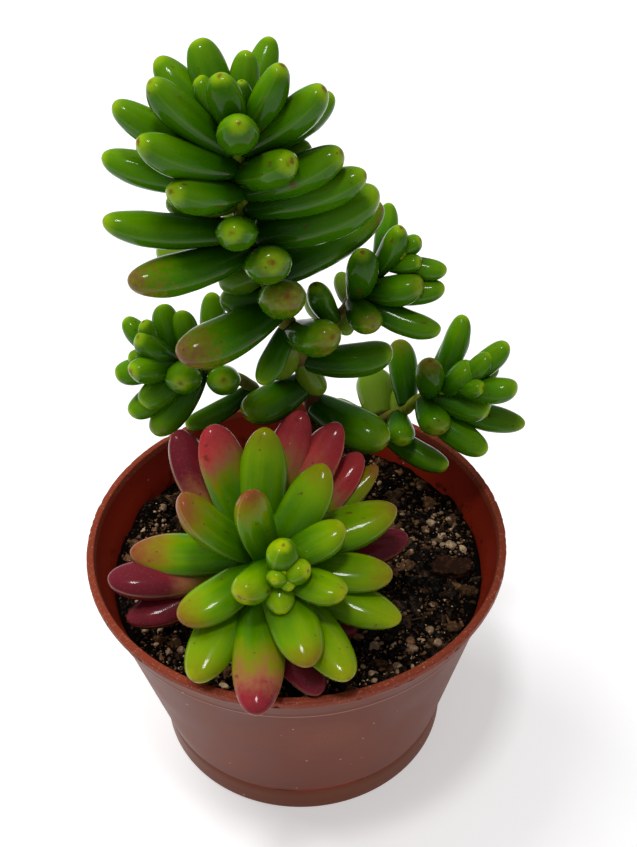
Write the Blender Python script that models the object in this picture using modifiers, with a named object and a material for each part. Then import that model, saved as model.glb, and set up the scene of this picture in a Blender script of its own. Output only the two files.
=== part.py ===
"""A potted jelly bean plant: nursery pot, soil, a tall branching stem and a low front rosette.

Lengths below are in millimetres and are turned into metres by MM when a mesh is made.
The origin is the middle of the pot's flat base. +Z is up and -Y is the plant's front.
"""
import math
import random

import bmesh
import bpy
from mathutils import Vector, noise

MM = 0.001
GAP = 0.3

# Pot
POT_TOP_RADIUS = 45.0
POT_HEIGHT = 54.0
POT_FOOT_RADIUS = 32.2
POT_WALL = 1.3
POT_FLOOR = 2.0
POT_CORNER = 1.5
LIP_HEIGHT = 1.6
LIP_DEPTH = 2.0
BAND_HEIGHT = 7.4
BAND_STEP = 0.7
GROOVE_HEIGHT = 6.8
GROOVE_DEPTH = 0.5
POT_STEPS = 44
DRAIN_HOLES = 6
DRAIN_RADIUS = 2.6
DRAIN_RING = 20.0
DRAIN_TURN = 13.0
DRAIN_SIDES = 12

# Soil
SOIL_LEVEL = 44.0
SOIL_RINGS = 9
SOIL_LUMP = 0.9
SOIL_LUMP_SIZE = 5.0
SOIL_CORNER = 3.0
GRIT_COUNT = 26
GRIT_SEED = 11
GRIT_SIZES = (0.8, 1.6)
GRIT_REACH = 37.0
GRIT_CLEARANCE = 7.0

# Bark chip: length, breadth and thickness, and where it lies
CHIP_SIZE = (8.5, 5.5, 2.0)
CHIP_PLACE = (33.5, -3.5)
CHIP_TURN = -20.0
CHIP_TILT = 8.0
CHIP_LIFT = 0.9
CHIP_BUMP = 0.6

# Leaves
LEAF_WAIST = 0.62
LEAF_NECK = 0.48
LEAF_SAG = 0.05
LEAF_TIP_POWER = 2.2
FACET_SWELL = 1.04
TALL_LEAF_DEPTH = 0.9
ROSETTE_LEAF_DEPTH = 0.78

# Routes of the stems, lowest point first
MAIN_ROUTE = [(7, 27, 30), (7, 27, 44), (6.3, 24.5, 58), (5.2, 21, 72), (3.6, 18.5, 84),
              (1.6, 16.5, 94), (-1, 15, 103), (-3.6, 13.5, 113), (-6, 12.5, 122),
              (-7.2, 11.5, 132), (-7.4, 10.5, 142), (-6.6, 10, 148)]
LEFT_ROUTE = [(4.5, 21.5, 66), (-3, 20, 72), (-9.3, 18, 82.2), (-15, 17, 86), (-21, 16.5, 89),
              (-26, 16, 91.5)]
UPPER_ROUTE = [(1.8, 16.6, 93), (10.2, 18, 97.7), (14.6, 20, 101.6), (18.5, 22, 106),
               (21.5, 23.5, 110), (24, 25, 113.5)]
LOWER_ROUTE = [(6, 24.5, 60), (16, 24, 63.5), (23.9, 22, 68.2), (27.4, 21, 72.1), (31.5, 19, 76),
               (35.5, 17, 79.5)]
ROSETTE_ROUTE = [(-10, -3, 30), (-10, -3, 44), (-9.8, -5, 52.5), (-8.7, -11, 60.5),
                 (-7, -17.8, 66.4), (-5, -23.8, 70.4), (-2.9, -29.8, 73.9)]

# Leaves: distance up the stem, bearing (0 right, 90 back, 180 left, 270 front), rise above
# level, length, breadth
MAIN_LEAVES = [
    # low on the bare part of the stem
    (44, 321, -5, 19.5, 10),
    (52, 213, -4, 16.5, 8.7),
    (60, 7, -68, 11, 6),
    (59, 356, 6, 19, 8),
    (65, 158, -62, 11.5, 6),
    (68.5, 304, 26, 16, 8.5),
    (70, 237, -33, 13.5, 5.5),
    # the old leaves that spread left, right and forward
    (76, 214, -3, 24, 9.8),
    (80, 283, 31, 14, 9),
    (80, 155, -23, 12.5, 6.5),
    (84, 30, 15, 27.8, 9.3),
    (86, 146, -30, 12, 6.5),
    (89.5, 283, 29, 14, 8.6),
    (91, 155, -12, 22, 8),
    (92.5, 207, 2, 26, 8.7),
    (95, 358, 20, 26, 10),
    (97, 191, 13, 27.5, 7.5),
    (98, 259, 27, 14.5, 7.4),
    (102, 346, 22, 25, 8),
    (104, 161, -12, 15.5, 6.5),
    (106, 342, 28, 22, 8),
    (106, 224, 24, 18, 7.6),
    (108, 172, 10, 25.5, 7.5),
    (108, 24, 14, 15, 6.5),
    # the crown
    (110, 313, 29, 16, 7.6),
    (111.5, 208, 30, 21.5, 8),
    (112.5, 175, 28, 24.2, 7.2),
    (113.5, 29, 17, 21.5, 7),
    (115, 195, 48, 21.5, 7.8),
    (115, 347, 39, 21, 7.6),
    (116.5, 64, 40, 20.5, 6),
    (117.5, 338, 59, 18, 6.8),
    (117.5, 70, 62, 15.3, 5.6),
    (117.5, 146, 35, 20, 7.3),
    (118, 125, 54, 18, 7.3),
    (117, 274, 40, 15, 7.3),
    (119, 241, 69, 14, 6.6),
    (119.5, 160, 52, 11.5, 5),
    (120, 314, 81, 9.5, 3.8),
]
# Leaves on the far side: between two stations, each at a golden-section step across the back
MAIN_BACK_LEAVES = dict(first=84, last=112, count=8, bearing=(60, 112), rise=(-10, 35),
                        length=(19, 15.2), breadth=(8, 6.8))
GOLDEN_STEP = 0.618

LEFT_LEAVES = [
    (19.5, 197, -22, 16.2, 5),
    (27.5, 273, 30, 9, 6.8),
    (32.5, 218, -38, 17, 7.2),
    (30, 86, 49, 16.5, 5.4),
    (35, 206, -28, 16.2, 6.5),
    (35, 261, 14, 9, 7.4),
    (36, 215, -25, 12.5, 7),
    (35.5, 96, 60, 11.3, 5.5),
    (38, 221, 19, 12, 6),
    (37.5, 197, 48, 11.5, 6),
    (38.5, 102, 48, 11.9, 5.5),
    (39, 190, -8, 12, 6),
    (40, 150, 37, 12, 5),
    (41, 170, 72, 9.5, 4.6),
    (41, 185, 5, 7, 4.5),
]
UPPER_LEAVES = [
    (9.5, 216, 66, 12, 5.6),
    (14, 246, -55, 6.5, 3.6),
    (15, 289, 2, 10, 6.5),
    (14, 99, 4, 10, 4),
    (15.5, 287, 73, 15, 6.5),
    (16, 335, -13, 18.5, 6),
    (17.8, 339, 17, 13.2, 7.2),
    (17.5, 350, 6, 17, 6),
    (21.5, 351, 65, 13, 5.8),
    (23, 77, 19, 17, 4.6),
    (24.5, 334, 16, 8.8, 4.5),
    (26, 341, -6, 12.7, 5),
    (27, 347, 30, 7.5, 4.5),
    (28, 297, 10, 4.5, 3.2),
    (8.5, 112, -4, 11, 4.2),
]
LOWER_LEAVES = [
    (15.5, 96, 16, 13.5, 8.8),
    (13.5, 155, 20, 10, 3.5),
    (13.5, 326, -17, 19.4, 6.2),
    (19.7, 272, -5, 9, 6.2),
    (19.5, 74, 14, 8, 4.4),
    (26, 322, -20, 18.8, 7),
    (22.5, 94, 39, 15.5, 6.3),
    (28, 288, -16, 9.5, 7),
    (30.5, 337, -5, 12.8, 7.2),
    (29.5, 259, 77, 12, 6),
    (28.5, 47, 42, 18, 6),
    (33.5, 356, 46, 9, 7),
    (28.5, 349, -15, 22.5, 6.5),
    (31, 56, 45, 18, 5.6),
    (36, 6, 43, 11, 5.2),
    (36.5, 14, 36, 14.5, 5.7),
    (36, 343, 9, 14, 6.2),
    (36.5, 323, 20, 7.5, 4.4),
    (35.5, 20, 8, 11.5, 4.4),
]
ROSETTE_LEAVES = [
    # the old red leaves underneath
    (28, 208, -7, 29.4, 9.5),
    (30, 137, 49, 30.3, 9.5),
    (30, 195, 4, 30.5, 10.6),
    (30, 32, 25, 30.8, 9.5),
    (29, 25, 21, 32, 7.6),
    (31, 3, 1, 32.4, 10.2),
    (36, 321, -19, 26, 8.5),
    (38, 290, -16, 32.5, 9.5),
    (33, 62, 40, 31, 9.5),
    (33, 45, 34, 32, 10.3),
    # the large green leaves
    (36, 117, 50, 27.8, 9.7),
    (37, 172, -3, 26.5, 10.6),
    (39, 82, 48, 25.7, 9.5),
    (41, 267, -13, 34.3, 9.7),
    (40, 242, -15, 29.5, 9.8),
    (41, 300, -10, 32.6, 9.5),
    (41, 332, -10, 30.9, 9.6),
    (42, 13, 11, 28.6, 10.6),
    (43, 172, 45, 22, 9),
    (45, 214, -11, 21, 9.6),
    (45, 351, -5, 25.3, 9.5),
    (45, 42, 39, 22.2, 9.5),
    (47, 288, -14, 24, 9.2),
    (48, 138, 75, 17, 8.5),
    # the young ones round the growing tip
    (50, 13, 23, 16, 8.3),
    (50, 328, -1, 16.2, 7.7),
    (49, 240, 11, 12.3, 7.2),
    (53, 329, 77, 7.5, 6.8),
    (53, 329, 22, 7.5, 5.5),
    (52, 276, -23, 9.5, 5.4),
    (55, 253, 19, 4.3, 4),
    (55, 296, -9, 4.6, 3),
    (54.5, 289, 37, 3.6, 2.4),
]

# Stem radii at the soil and at the tip
MAIN_GIRTH = (2.2, 1.5)
SHOOT_GIRTH = (1.5, 1.1)
ROSETTE_GIRTH = (2.4, 1.6)
STEM_POINT_SPACING = 4.0


def clear_scene():
    for thing in list(bpy.data.objects):
        bpy.data.objects.remove(thing, do_unlink=True)


def new_collection(name):
    group = bpy.data.collections.new(name)
    bpy.context.scene.collection.children.link(group)
    return group


def new_material(name, colour, roughness):
    finish = bpy.data.materials.new(name)
    finish.use_nodes = True
    shader = finish.node_tree.nodes["Principled BSDF"]
    shader.inputs["Base Color"].default_value = (*colour, 1.0)
    shader.inputs["Roughness"].default_value = roughness
    shader.inputs["Metallic"].default_value = 0.0
    return finish


def add_object(name, mesh, group, finish=None):
    thing = bpy.data.objects.new(name, mesh)
    group.objects.link(thing)
    if finish:
        mesh.materials.clear()
        mesh.materials.append(finish)
    return thing


def mesh_from_bmesh(name, shape):
    mesh = bpy.data.meshes.new(name)
    shape.to_mesh(mesh)
    shape.free()
    return mesh


def remove_object(thing):
    mesh = thing.data
    bpy.data.objects.remove(thing, do_unlink=True)
    if mesh.users == 0:
        bpy.data.meshes.remove(mesh)


def apply_modifiers(thing):
    """Replace the object's mesh with its evaluated one and drop the modifiers."""
    graph = bpy.context.evaluated_depsgraph_get()
    done = bpy.data.meshes.new_from_object(thing.evaluated_get(graph))
    thing.modifiers.clear()
    thing.data = done


def weld(mesh):
    """Join the points that meet, such as the many at a turned shape's pole."""
    shape = bmesh.new()
    shape.from_mesh(mesh)
    bmesh.ops.remove_doubles(shape, verts=shape.verts, dist=0.01 * MM)
    bmesh.ops.dissolve_degenerate(shape, edges=shape.edges, dist=0.001 * MM)
    bmesh.ops.recalc_face_normals(shape, faces=shape.faces)
    shape.to_mesh(mesh)
    shape.free()


def turned(name, profile, steps, group, finish):
    """A body of revolution about Z from a list of (radius, height), in millimetres."""
    shape = bmesh.new()
    corners = [shape.verts.new((r * MM, 0.0, z * MM)) for r, z in profile]
    for low, high in zip(corners, corners[1:]):
        shape.edges.new((low, high))
    thing = add_object(name, mesh_from_bmesh(name, shape), group, finish)
    screw = thing.modifiers.new("turn", "SCREW")
    screw.axis = "Z"
    screw.steps = steps
    screw.render_steps = steps
    screw.use_merge_vertices = True
    screw.merge_threshold = 0.00001
    apply_modifiers(thing)
    weld(thing.data)
    return thing


def smooth_route(points, per_span=12):
    """A smooth curve through the hand-chosen points of a stem."""
    route = []
    last = len(points) - 1
    for i in range(last):
        p0 = Vector(points[max(i - 1, 0)])
        p1 = Vector(points[i])
        p2 = Vector(points[i + 1])
        p3 = Vector(points[min(i + 2, last)])
        for k in range(per_span):
            t = k / per_span
            route.append(0.5 * (2 * p1 + (p2 - p0) * t + (2 * p0 - 5 * p1 + 4 * p2 - p3) * t ** 2
                                + (3 * p1 - p0 - 3 * p2 + p3) * t ** 3))
    route.append(Vector(points[last]))
    return route


def route_length(route):
    return sum((b - a).length for a, b in zip(route, route[1:]))


def point_along(route, distance):
    """The point that lies a given distance up the route."""
    left = distance
    for a, b in zip(route, route[1:]):
        step = (b - a).length
        if left <= step:
            return a.lerp(b, left / step)
        left -= step
    return route[-1].copy()


def stem_mesh(name, route, girth, extra=0.0):
    """A round tapering stem: a poly curve with a bevel, made a mesh and welded at its caps."""
    length = route_length(route)
    count = max(4, round(length / STEM_POINT_SPACING) + 1)
    curve = bpy.data.curves.new(name, "CURVE")
    curve.dimensions = "3D"
    curve.bevel_depth = MM
    curve.bevel_resolution = 2
    curve.use_fill_caps = True
    line = curve.splines.new("POLY")
    line.points.add(count - 1)
    for i, point in enumerate(line.points):
        share = i / (count - 1)
        point.co = (*(point_along(route, length * share) * MM), 1.0)
        point.radius = girth[0] + (girth[1] - girth[0]) * share + extra
    guide = bpy.data.objects.new(name + "_guide", curve)
    bpy.context.scene.collection.objects.link(guide)
    graph = bpy.context.evaluated_depsgraph_get()
    mesh = bpy.data.meshes.new_from_object(guide.evaluated_get(graph))
    bpy.data.objects.remove(guide, do_unlink=True)
    bpy.data.curves.remove(curve)
    weld(mesh)
    return mesh


def leaf_girth(t):
    """Share of the full breadth at t along a leaf: a slim neck, a full waist, a round tip."""
    swell = LEAF_NECK + (1.0 - LEAF_NECK) * math.sin(0.5 * math.pi * min(t / LEAF_WAIST, 1.0))
    if t <= LEAF_WAIST:
        return swell
    over = (t - LEAF_WAIST) / (1.0 - LEAF_WAIST)
    return max(0.0, 1.0 - over ** LEAF_TIP_POWER) ** (1.0 / LEAF_TIP_POWER)


def leaf_facets(length):
    """Sides and rings of a leaf: the small ones get fewer."""
    if length > 12.5:
        return 8, 6
    if length > 7.2:
        return 7, 5
    return 6, 4


def leaf_mesh(name, root, bearing, rise, length, breadth, depth_share):
    """One bean-shaped leaf: a sphere drawn out along a line that sags a little."""
    turn = math.radians(bearing)
    lift = math.radians(rise)
    ahead = Vector((math.cos(turn) * math.cos(lift), math.sin(turn) * math.cos(lift),
                    math.sin(lift)))
    side = Vector((-math.sin(turn), math.cos(turn), 0.0))
    over = ahead.cross(side)
    sides, rings = leaf_facets(length)
    shape = bmesh.new()
    bmesh.ops.create_uvsphere(shape, u_segments=sides, v_segments=rings, radius=1.0)
    for vert in shape.verts:
        t = 0.5 * (1.0 + vert.co.z)
        across = Vector((vert.co.x, vert.co.y))
        if across.length > 1e-6:
            across.normalize()
        half = 0.5 * breadth * FACET_SWELL * leaf_girth(t)
        sag = 4.0 * LEAF_SAG * length * t * (1.0 - t)
        spot = (Vector(root) + ahead * (length * t) - over * sag + side * (across.x * half)
                + over * (across.y * half * depth_share))
        vert.co = spot * MM
    bmesh.ops.recalc_face_normals(shape, faces=shape.faces)
    return mesh_from_bmesh(name, shape)


def keep_largest_shell(mesh):
    """Fill the hollows that fusing sealed and drop loose scraps: only the outer shell stays."""
    shape = bmesh.new()
    shape.from_mesh(mesh)
    left = set(shape.faces)
    shells = []
    while left:
        seed = left.pop()
        shell = [seed]
        front = [seed]
        while front:
            face = front.pop()
            for edge in face.edges:
                for near in edge.link_faces:
                    if near in left:
                        left.remove(near)
                        shell.append(near)
                        front.append(near)
        shells.append(shell)
    shells.sort(key=len, reverse=True)
    for shell in shells[1:]:
        bmesh.ops.delete(shape, geom=shell, context="FACES")
    shape.to_mesh(mesh)
    shape.free()


def join_to(thing, pieces, group):
    """Fuse the pieces of a collection to one object and clear the collection away."""
    union = thing.modifiers.new("join", "BOOLEAN")
    union.operation = "UNION"
    union.operand_type = "COLLECTION"
    union.collection = group
    union.solver = "EXACT"
    apply_modifiers(thing)
    keep_largest_shell(thing.data)
    for piece in pieces:
        remove_object(piece)
    bpy.data.collections.remove(group)


def cut_with(thing, cutter):
    """Cut one body out of another and remove the cutter."""
    cut = thing.modifiers.new("cut", "BOOLEAN")
    cut.operation = "DIFFERENCE"
    cut.object = cutter
    cut.solver = "EXACT"
    apply_modifiers(thing)
    remove_object(cutter)


def leafy_stem(name, points, girth, leaves, depth_share, group, finish):
    """A stem with its leaves, fused to one body."""
    route = smooth_route(points)
    stem = add_object(name, stem_mesh(name, route, girth), group, finish)
    sprays = new_collection(name + "_leaves")
    pieces = []
    for k, (along, bearing, rise, length, breadth) in enumerate(leaves):
        mesh = leaf_mesh(f"{name}_leaf_{k}", point_along(route, along), bearing, rise, length,
                         breadth, depth_share)
        pieces.append(add_object(f"{name}_leaf_{k}", mesh, sprays, finish))
    join_to(stem, pieces, sprays)
    return stem


def between(ends, share):
    return ends[0] + (ends[1] - ends[0]) * share


def back_leaves(first, last, count, bearing, rise, length, breadth):
    """Leaves on the far side, spaced up the stem and swung to and fro across the back."""
    rows = []
    for k in range(count):
        share = k / (count - 1)
        rows.append((between((first, last), share), between(bearing, (GOLDEN_STEP * k) % 1.0),
                     between(rise, share), between(length, share), between(breadth, share)))
    return rows


def make_pot(group, finish):
    """The pot: one turned wall with lip, band and groove, and drainage holes in its floor."""
    def outer(z):
        share = (z - GROOVE_HEIGHT) / (POT_HEIGHT - GROOVE_HEIGHT)
        return POT_FOOT_RADIUS + 0.3 + (POT_TOP_RADIUS - BAND_STEP - 0.7 - POT_FOOT_RADIUS) * share

    top = POT_HEIGHT
    band = top - BAND_HEIGHT
    lip = LIP_HEIGHT
    profile = [
        (0.0, POT_FLOOR),
        (POT_FOOT_RADIUS - POT_WALL - POT_CORNER, POT_FLOOR),
        (POT_FOOT_RADIUS - POT_WALL, POT_FLOOR + POT_CORNER),
        (outer(band) - POT_WALL, band),
        (POT_TOP_RADIUS - LIP_DEPTH, top - lip),
        (POT_TOP_RADIUS - 1.7, top - 0.3 * lip),
        (POT_TOP_RADIUS - 1.2, top),
        (POT_TOP_RADIUS - 0.4, top - 0.1),
        (POT_TOP_RADIUS, top - 0.6),
        (POT_TOP_RADIUS, top - lip),
        (POT_TOP_RADIUS - 0.5, top - lip - 0.3),
        (outer(band) + BAND_STEP, band + 0.3),
        (outer(band) + BAND_STEP - 0.2, band),
        (outer(band), band - 0.2),
        (POT_FOOT_RADIUS + 0.4, GROOVE_HEIGHT + 0.5),
        (POT_FOOT_RADIUS + 0.3 - GROOVE_DEPTH, GROOVE_HEIGHT),
        (POT_FOOT_RADIUS + 0.1, GROOVE_HEIGHT - 0.6),
        (POT_FOOT_RADIUS, 0.6),
        (POT_FOOT_RADIUS - 0.6, 0.0),
        (0.0, 0.0),
    ]
    pot = turned("pot", profile, POT_STEPS, group, finish)
    for k in range(DRAIN_HOLES):
        turn = 2.0 * math.pi * k / DRAIN_HOLES + math.radians(DRAIN_TURN)
        place = Vector((DRAIN_RING * math.cos(turn), DRAIN_RING * math.sin(turn), 0.0)) * MM
        bpy.ops.mesh.primitive_cylinder_add(vertices=DRAIN_SIDES, radius=DRAIN_RADIUS * MM,
                                            depth=4.0 * POT_FLOOR * MM, location=place)
        cut_with(pot, bpy.context.object)
    return pot


def soil_height(x, y):
    """Height of the soil's lumpy top."""
    spot = Vector((x, y, 0.0)) / SOIL_LUMP_SIZE
    return SOIL_LEVEL + SOIL_LUMP * noise.noise(spot) + 0.5 * SOIL_LUMP * noise.noise(spot * 2.3)


def wall_inside(z):
    """Inner radius of the pot at a height."""
    band = POT_HEIGHT - BAND_HEIGHT
    low = POT_FOOT_RADIUS - POT_WALL
    share = (band - GROOVE_HEIGHT) / (POT_HEIGHT - GROOVE_HEIGHT)
    high = (POT_FOOT_RADIUS + 0.3 + (POT_TOP_RADIUS - BAND_STEP - 0.7 - POT_FOOT_RADIUS) * share
            - POT_WALL)
    base = POT_FLOOR + POT_CORNER
    return low + (high - low) * (z - base) / (band - base)


def make_soil(group, finish):
    """The soil: a turned filling whose top is raised by a formula, with grit fused to it."""
    edge = wall_inside(SOIL_LEVEL) - 2.0 * GAP
    low = POT_FLOOR + GAP
    rings = [(edge * k / SOIL_RINGS, SOIL_LEVEL) for k in range(SOIL_RINGS + 1)]
    profile = rings + [
        (wall_inside(low + SOIL_CORNER) - 2.0 * GAP, low + SOIL_CORNER),
        (POT_FOOT_RADIUS - POT_WALL - SOIL_CORNER, low),
        (0.0, low),
    ]
    soil = turned("soil", profile, POT_STEPS, group, finish)
    for vert in soil.data.vertices:
        x, y, z = (c / MM for c in vert.co)
        if z > SOIL_LEVEL - 0.5:
            reach = math.hypot(x, y)
            fade = min(1.0, (edge - reach) / 2.0 + 0.2)
            vert.co.z = (SOIL_LEVEL + (soil_height(x, y) - SOIL_LEVEL) * fade) * MM
    add_grit(soil, finish)
    return soil


def add_grit(soil, finish):
    """Pebbles of grit, sunk by half in the soil's top and fused to it."""
    rng = random.Random(GRIT_SEED)
    pebbles = new_collection("grit")
    pieces = []
    stems = [MAIN_ROUTE[1], ROSETTE_ROUTE[1], (*CHIP_PLACE, SOIL_LEVEL)]
    while len(pieces) < GRIT_COUNT:
        reach = GRIT_REACH * math.sqrt(rng.random())
        turn = 2.0 * math.pi * rng.random()
        x, y = reach * math.cos(turn), reach * math.sin(turn)
        size = rng.uniform(*GRIT_SIZES)
        stretch = (rng.uniform(0.8, 1.3), rng.uniform(0.8, 1.3), rng.uniform(0.7, 1.0))
        spin = rng.uniform(0.0, math.pi)
        if min(math.hypot(x - s[0], y - s[1]) for s in stems) < GRIT_CLEARANCE:
            continue
        shape = bmesh.new()
        bmesh.ops.create_icosphere(shape, subdivisions=1, radius=size * MM)
        for vert in shape.verts:
            across = Vector((vert.co.x * stretch[0], vert.co.y * stretch[1]))
            vert.co = Vector((across.x * math.cos(spin) - across.y * math.sin(spin) + x * MM,
                              across.x * math.sin(spin) + across.y * math.cos(spin) + y * MM,
                              vert.co.z * stretch[2] + soil_height(x, y) * MM))
        name = f"grit_{len(pieces)}"
        pieces.append(add_object(name, mesh_from_bmesh(name, shape), pebbles, finish))
    join_to(soil, pieces, pebbles)


def chip_mesh(name, swell):
    """A flake of bark: a bevelled box with uneven corners, laid on the soil."""
    shape = bmesh.new()
    bmesh.ops.create_cube(shape, size=1.0)
    bmesh.ops.subdivide_edges(shape, edges=shape.edges, cuts=2, use_grid_fill=True)
    turn = math.radians(CHIP_TURN)
    tilt = math.radians(CHIP_TILT)
    for vert in shape.verts:
        size = [(s + 2.0 * swell) for s in CHIP_SIZE]
        bump = CHIP_BUMP * noise.noise(vert.co * 2.7)
        x = vert.co.x * size[0] * (1.0 - 0.5 * abs(vert.co.y) ** 1.5)
        y = vert.co.y * size[1] * (1.0 - 0.7 * abs(vert.co.x) ** 1.5)
        z = vert.co.z * size[2] + bump + math.tan(tilt) * x
        place = Vector((CHIP_PLACE[0] + x * math.cos(turn) - y * math.sin(turn),
                        CHIP_PLACE[1] + x * math.sin(turn) + y * math.cos(turn),
                        SOIL_LEVEL + CHIP_LIFT + z))
        vert.co = place * MM
    bmesh.ops.recalc_face_normals(shape, faces=shape.faces)
    return mesh_from_bmesh(name, shape)


def main():
    clear_scene()
    plant = new_collection("potted_jelly_bean_plant")
    plastic = new_material("pot_plastic", (0.24, 0.09, 0.06), 0.45)
    peat = new_material("peat", (0.035, 0.028, 0.022), 0.95)
    bark = new_material("bark", (0.12, 0.06, 0.035), 0.85)
    green = new_material("leaf_green", (0.10, 0.26, 0.02), 0.25)
    tinted = new_material("rosette_green", (0.20, 0.33, 0.02), 0.28)

    make_pot(plant, plastic)
    soil = make_soil(plant, peat)
    add_object("bark_chip", chip_mesh("bark_chip", 0.0), plant, bark)
    cut_with(soil, add_object("chip_seat", chip_mesh("chip_seat", GAP), plant))

    main_rows = MAIN_LEAVES + back_leaves(**MAIN_BACK_LEAVES)
    leafy_stem("main_stem", MAIN_ROUTE, MAIN_GIRTH, main_rows, TALL_LEAF_DEPTH, plant, green)
    shoots = [("left_shoot", LEFT_ROUTE, LEFT_LEAVES),
              ("upper_right_shoot", UPPER_ROUTE, UPPER_LEAVES),
              ("lower_right_shoot", LOWER_ROUTE, LOWER_LEAVES)]
    main_route = smooth_route(MAIN_ROUTE)
    for name, route, rows in shoots:
        shoot = leafy_stem(name, route, SHOOT_GIRTH, rows, TALL_LEAF_DEPTH, plant, green)
        room = stem_mesh("stem_room", main_route, MAIN_GIRTH, GAP)
        cut_with(shoot, add_object("stem_room", room, plant))
    leafy_stem("front_rosette", ROSETTE_ROUTE, ROSETTE_GIRTH, ROSETTE_LEAVES, ROSETTE_LEAF_DEPTH,
               plant, tinted)

    for points, girth in ((MAIN_ROUTE, MAIN_GIRTH), (ROSETTE_ROUTE, ROSETTE_GIRTH)):
        straight = [Vector(points[0]) - Vector((0, 0, GAP)), Vector(points[1]) + Vector((0, 0, 8))]
        hole = stem_mesh("stem_hole", straight, (girth[0], girth[0]), GAP)
        cut_with(soil, add_object("stem_hole", hole, plant))


main()
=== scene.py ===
# %% [markdown]
# # A potted jelly bean plant
# A nine centimetre nursery pot of dark peat holds two plants of one kind. The tall one at the back
# branches into four leafy heads, and the low one in front opens its leaves like a flower. The
# solids loaded here already have the right places and sizes. This lesson gives each of them its
# fine shape and its finish, and never moves a thing.

import math
import random

import bmesh
import bpy
from mathutils import Matrix, Vector, noise


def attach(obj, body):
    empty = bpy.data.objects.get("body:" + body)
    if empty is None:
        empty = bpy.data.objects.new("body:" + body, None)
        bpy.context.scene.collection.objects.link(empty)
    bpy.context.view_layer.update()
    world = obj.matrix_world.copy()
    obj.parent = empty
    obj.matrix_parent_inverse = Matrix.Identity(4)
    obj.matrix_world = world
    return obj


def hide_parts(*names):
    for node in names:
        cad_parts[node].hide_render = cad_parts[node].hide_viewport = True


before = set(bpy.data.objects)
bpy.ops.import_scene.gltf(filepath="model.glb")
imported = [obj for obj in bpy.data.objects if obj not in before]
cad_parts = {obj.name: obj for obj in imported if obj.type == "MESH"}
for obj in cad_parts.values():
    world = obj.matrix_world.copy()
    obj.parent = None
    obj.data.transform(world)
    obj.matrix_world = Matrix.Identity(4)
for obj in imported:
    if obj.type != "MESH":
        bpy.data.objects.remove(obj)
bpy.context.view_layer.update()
print("solids to dress:", ", ".join(sorted(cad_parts)))

# %% [markdown]
# ## Sizes
# Every length below is in millimetres, as a gardener would measure it, and MM turns it into
# metres when a mesh is made. The origin is the middle of the pot's base, and -Y is the front.

# %% The driving sizes
MM = 0.001
POT_TOP_RADIUS = 45.0
POT_HEIGHT = 54.0
POT_FOOT_RADIUS = 32.2
POT_WALL = 1.3
POT_FLOOR = 2.0
POT_CORNER = 1.5
FOOT_STEP = 0.3
TOP_INSET = 0.7
LIP_HEIGHT = 1.6
LIP_DEPTH = 2.0
BAND_HEIGHT = 7.4
BAND_STEP = 0.7
GROOVE_HEIGHT = 6.8
GROOVE_DEPTH = 0.5
SOIL_LEVEL = 44.0


def wall_outside(z):
    """Radius of the pot's sloping outer wall at a height."""
    share = (z - GROOVE_HEIGHT) / (POT_HEIGHT - GROOVE_HEIGHT)
    spread = POT_TOP_RADIUS - BAND_STEP - TOP_INSET - POT_FOOT_RADIUS
    return POT_FOOT_RADIUS + FOOT_STEP + spread * share


def wall_inside(z):
    """Radius of the pot's inner wall at a height, below the band."""
    band = POT_HEIGHT - BAND_HEIGHT
    low = POT_FOOT_RADIUS - POT_WALL
    base = POT_FLOOR + POT_CORNER
    return low + (wall_outside(band) - POT_WALL - low) * (z - base) / (band - base)


print(f"soil meets the wall at radius {wall_inside(SOIL_LEVEL):.1f} mm")

# %% [markdown]
# ## The camera
# The photograph was taken from the front and well above the plant. Working back from the pot's
# rim, band and foot gives the camera's place and its slight turn, so the render lines up with
# the picture. The picture is taller than it is wide, so the sensor's 36 mm run along its height.

# %% Set the camera
PICTURE_HEIGHT = 847
SENSOR_HEIGHT = 36.0
FOCAL_PIXELS = 1400.0
CAMERA_PLACE = Vector((0.0, -211.7, 269.4)) * MM
CAMERA_YAW = 0.026
CAMERA_PITCH = math.radians(41.0)
CAMERA_ROLL = -0.03


def add_object(name, data):
    """Put a new object into the scene, at the origin."""
    thing = bpy.data.objects.new(name, data)
    bpy.context.scene.collection.objects.link(thing)
    return thing


def set_camera():
    ahead = Vector((math.sin(CAMERA_YAW) * math.cos(CAMERA_PITCH),
                    math.cos(CAMERA_YAW) * math.cos(CAMERA_PITCH), -math.sin(CAMERA_PITCH)))
    level = ahead.cross(Vector((0.0, 0.0, 1.0))).normalized()
    upright = level.cross(ahead)
    right = level * math.cos(CAMERA_ROLL) + upright * math.sin(CAMERA_ROLL)
    up = -level * math.sin(CAMERA_ROLL) + upright * math.cos(CAMERA_ROLL)
    lens = bpy.data.cameras.new("camera")
    lens.sensor_width = SENSOR_HEIGHT
    lens.lens = FOCAL_PIXELS * SENSOR_HEIGHT / PICTURE_HEIGHT
    lens.clip_start = 0.01
    camera = add_object("camera", lens)
    turn = Matrix((right, up, -ahead)).transposed()
    camera.matrix_world = Matrix.Translation(CAMERA_PLACE) @ turn.to_4x4()
    bpy.context.scene.camera = camera
    return lens.lens


print(f"lens {set_camera():.1f} mm")

# %% [markdown]
# ## Light and floor
# The plant stands on a white sweep. One large soft box hangs above and to the left, a little
# behind, and draws the soft shadow on the right. A small box overhead makes the bright spots
# on the leaf tips, and the white surroundings give the leaves their pale rims.

# %% Set the lights and the floor
KEY = dict(place=(-0.36, 0.26, 0.72), size=0.50, power=4.6, mirrored=False)
SPOT = dict(place=(-0.05, -0.12, 0.84), size=0.12, power=1.9, mirrored=True)
AIM = Vector((0.0, 0.0, 0.06))
WHITE = (1.0, 1.0, 1.0, 1.0)
PAPER = (0.80, 0.80, 0.80, 1.0)
SURROUND = 0.26
FLOOR_SIZE = 8.0
FLOOR_GLOW = 0.45


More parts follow.
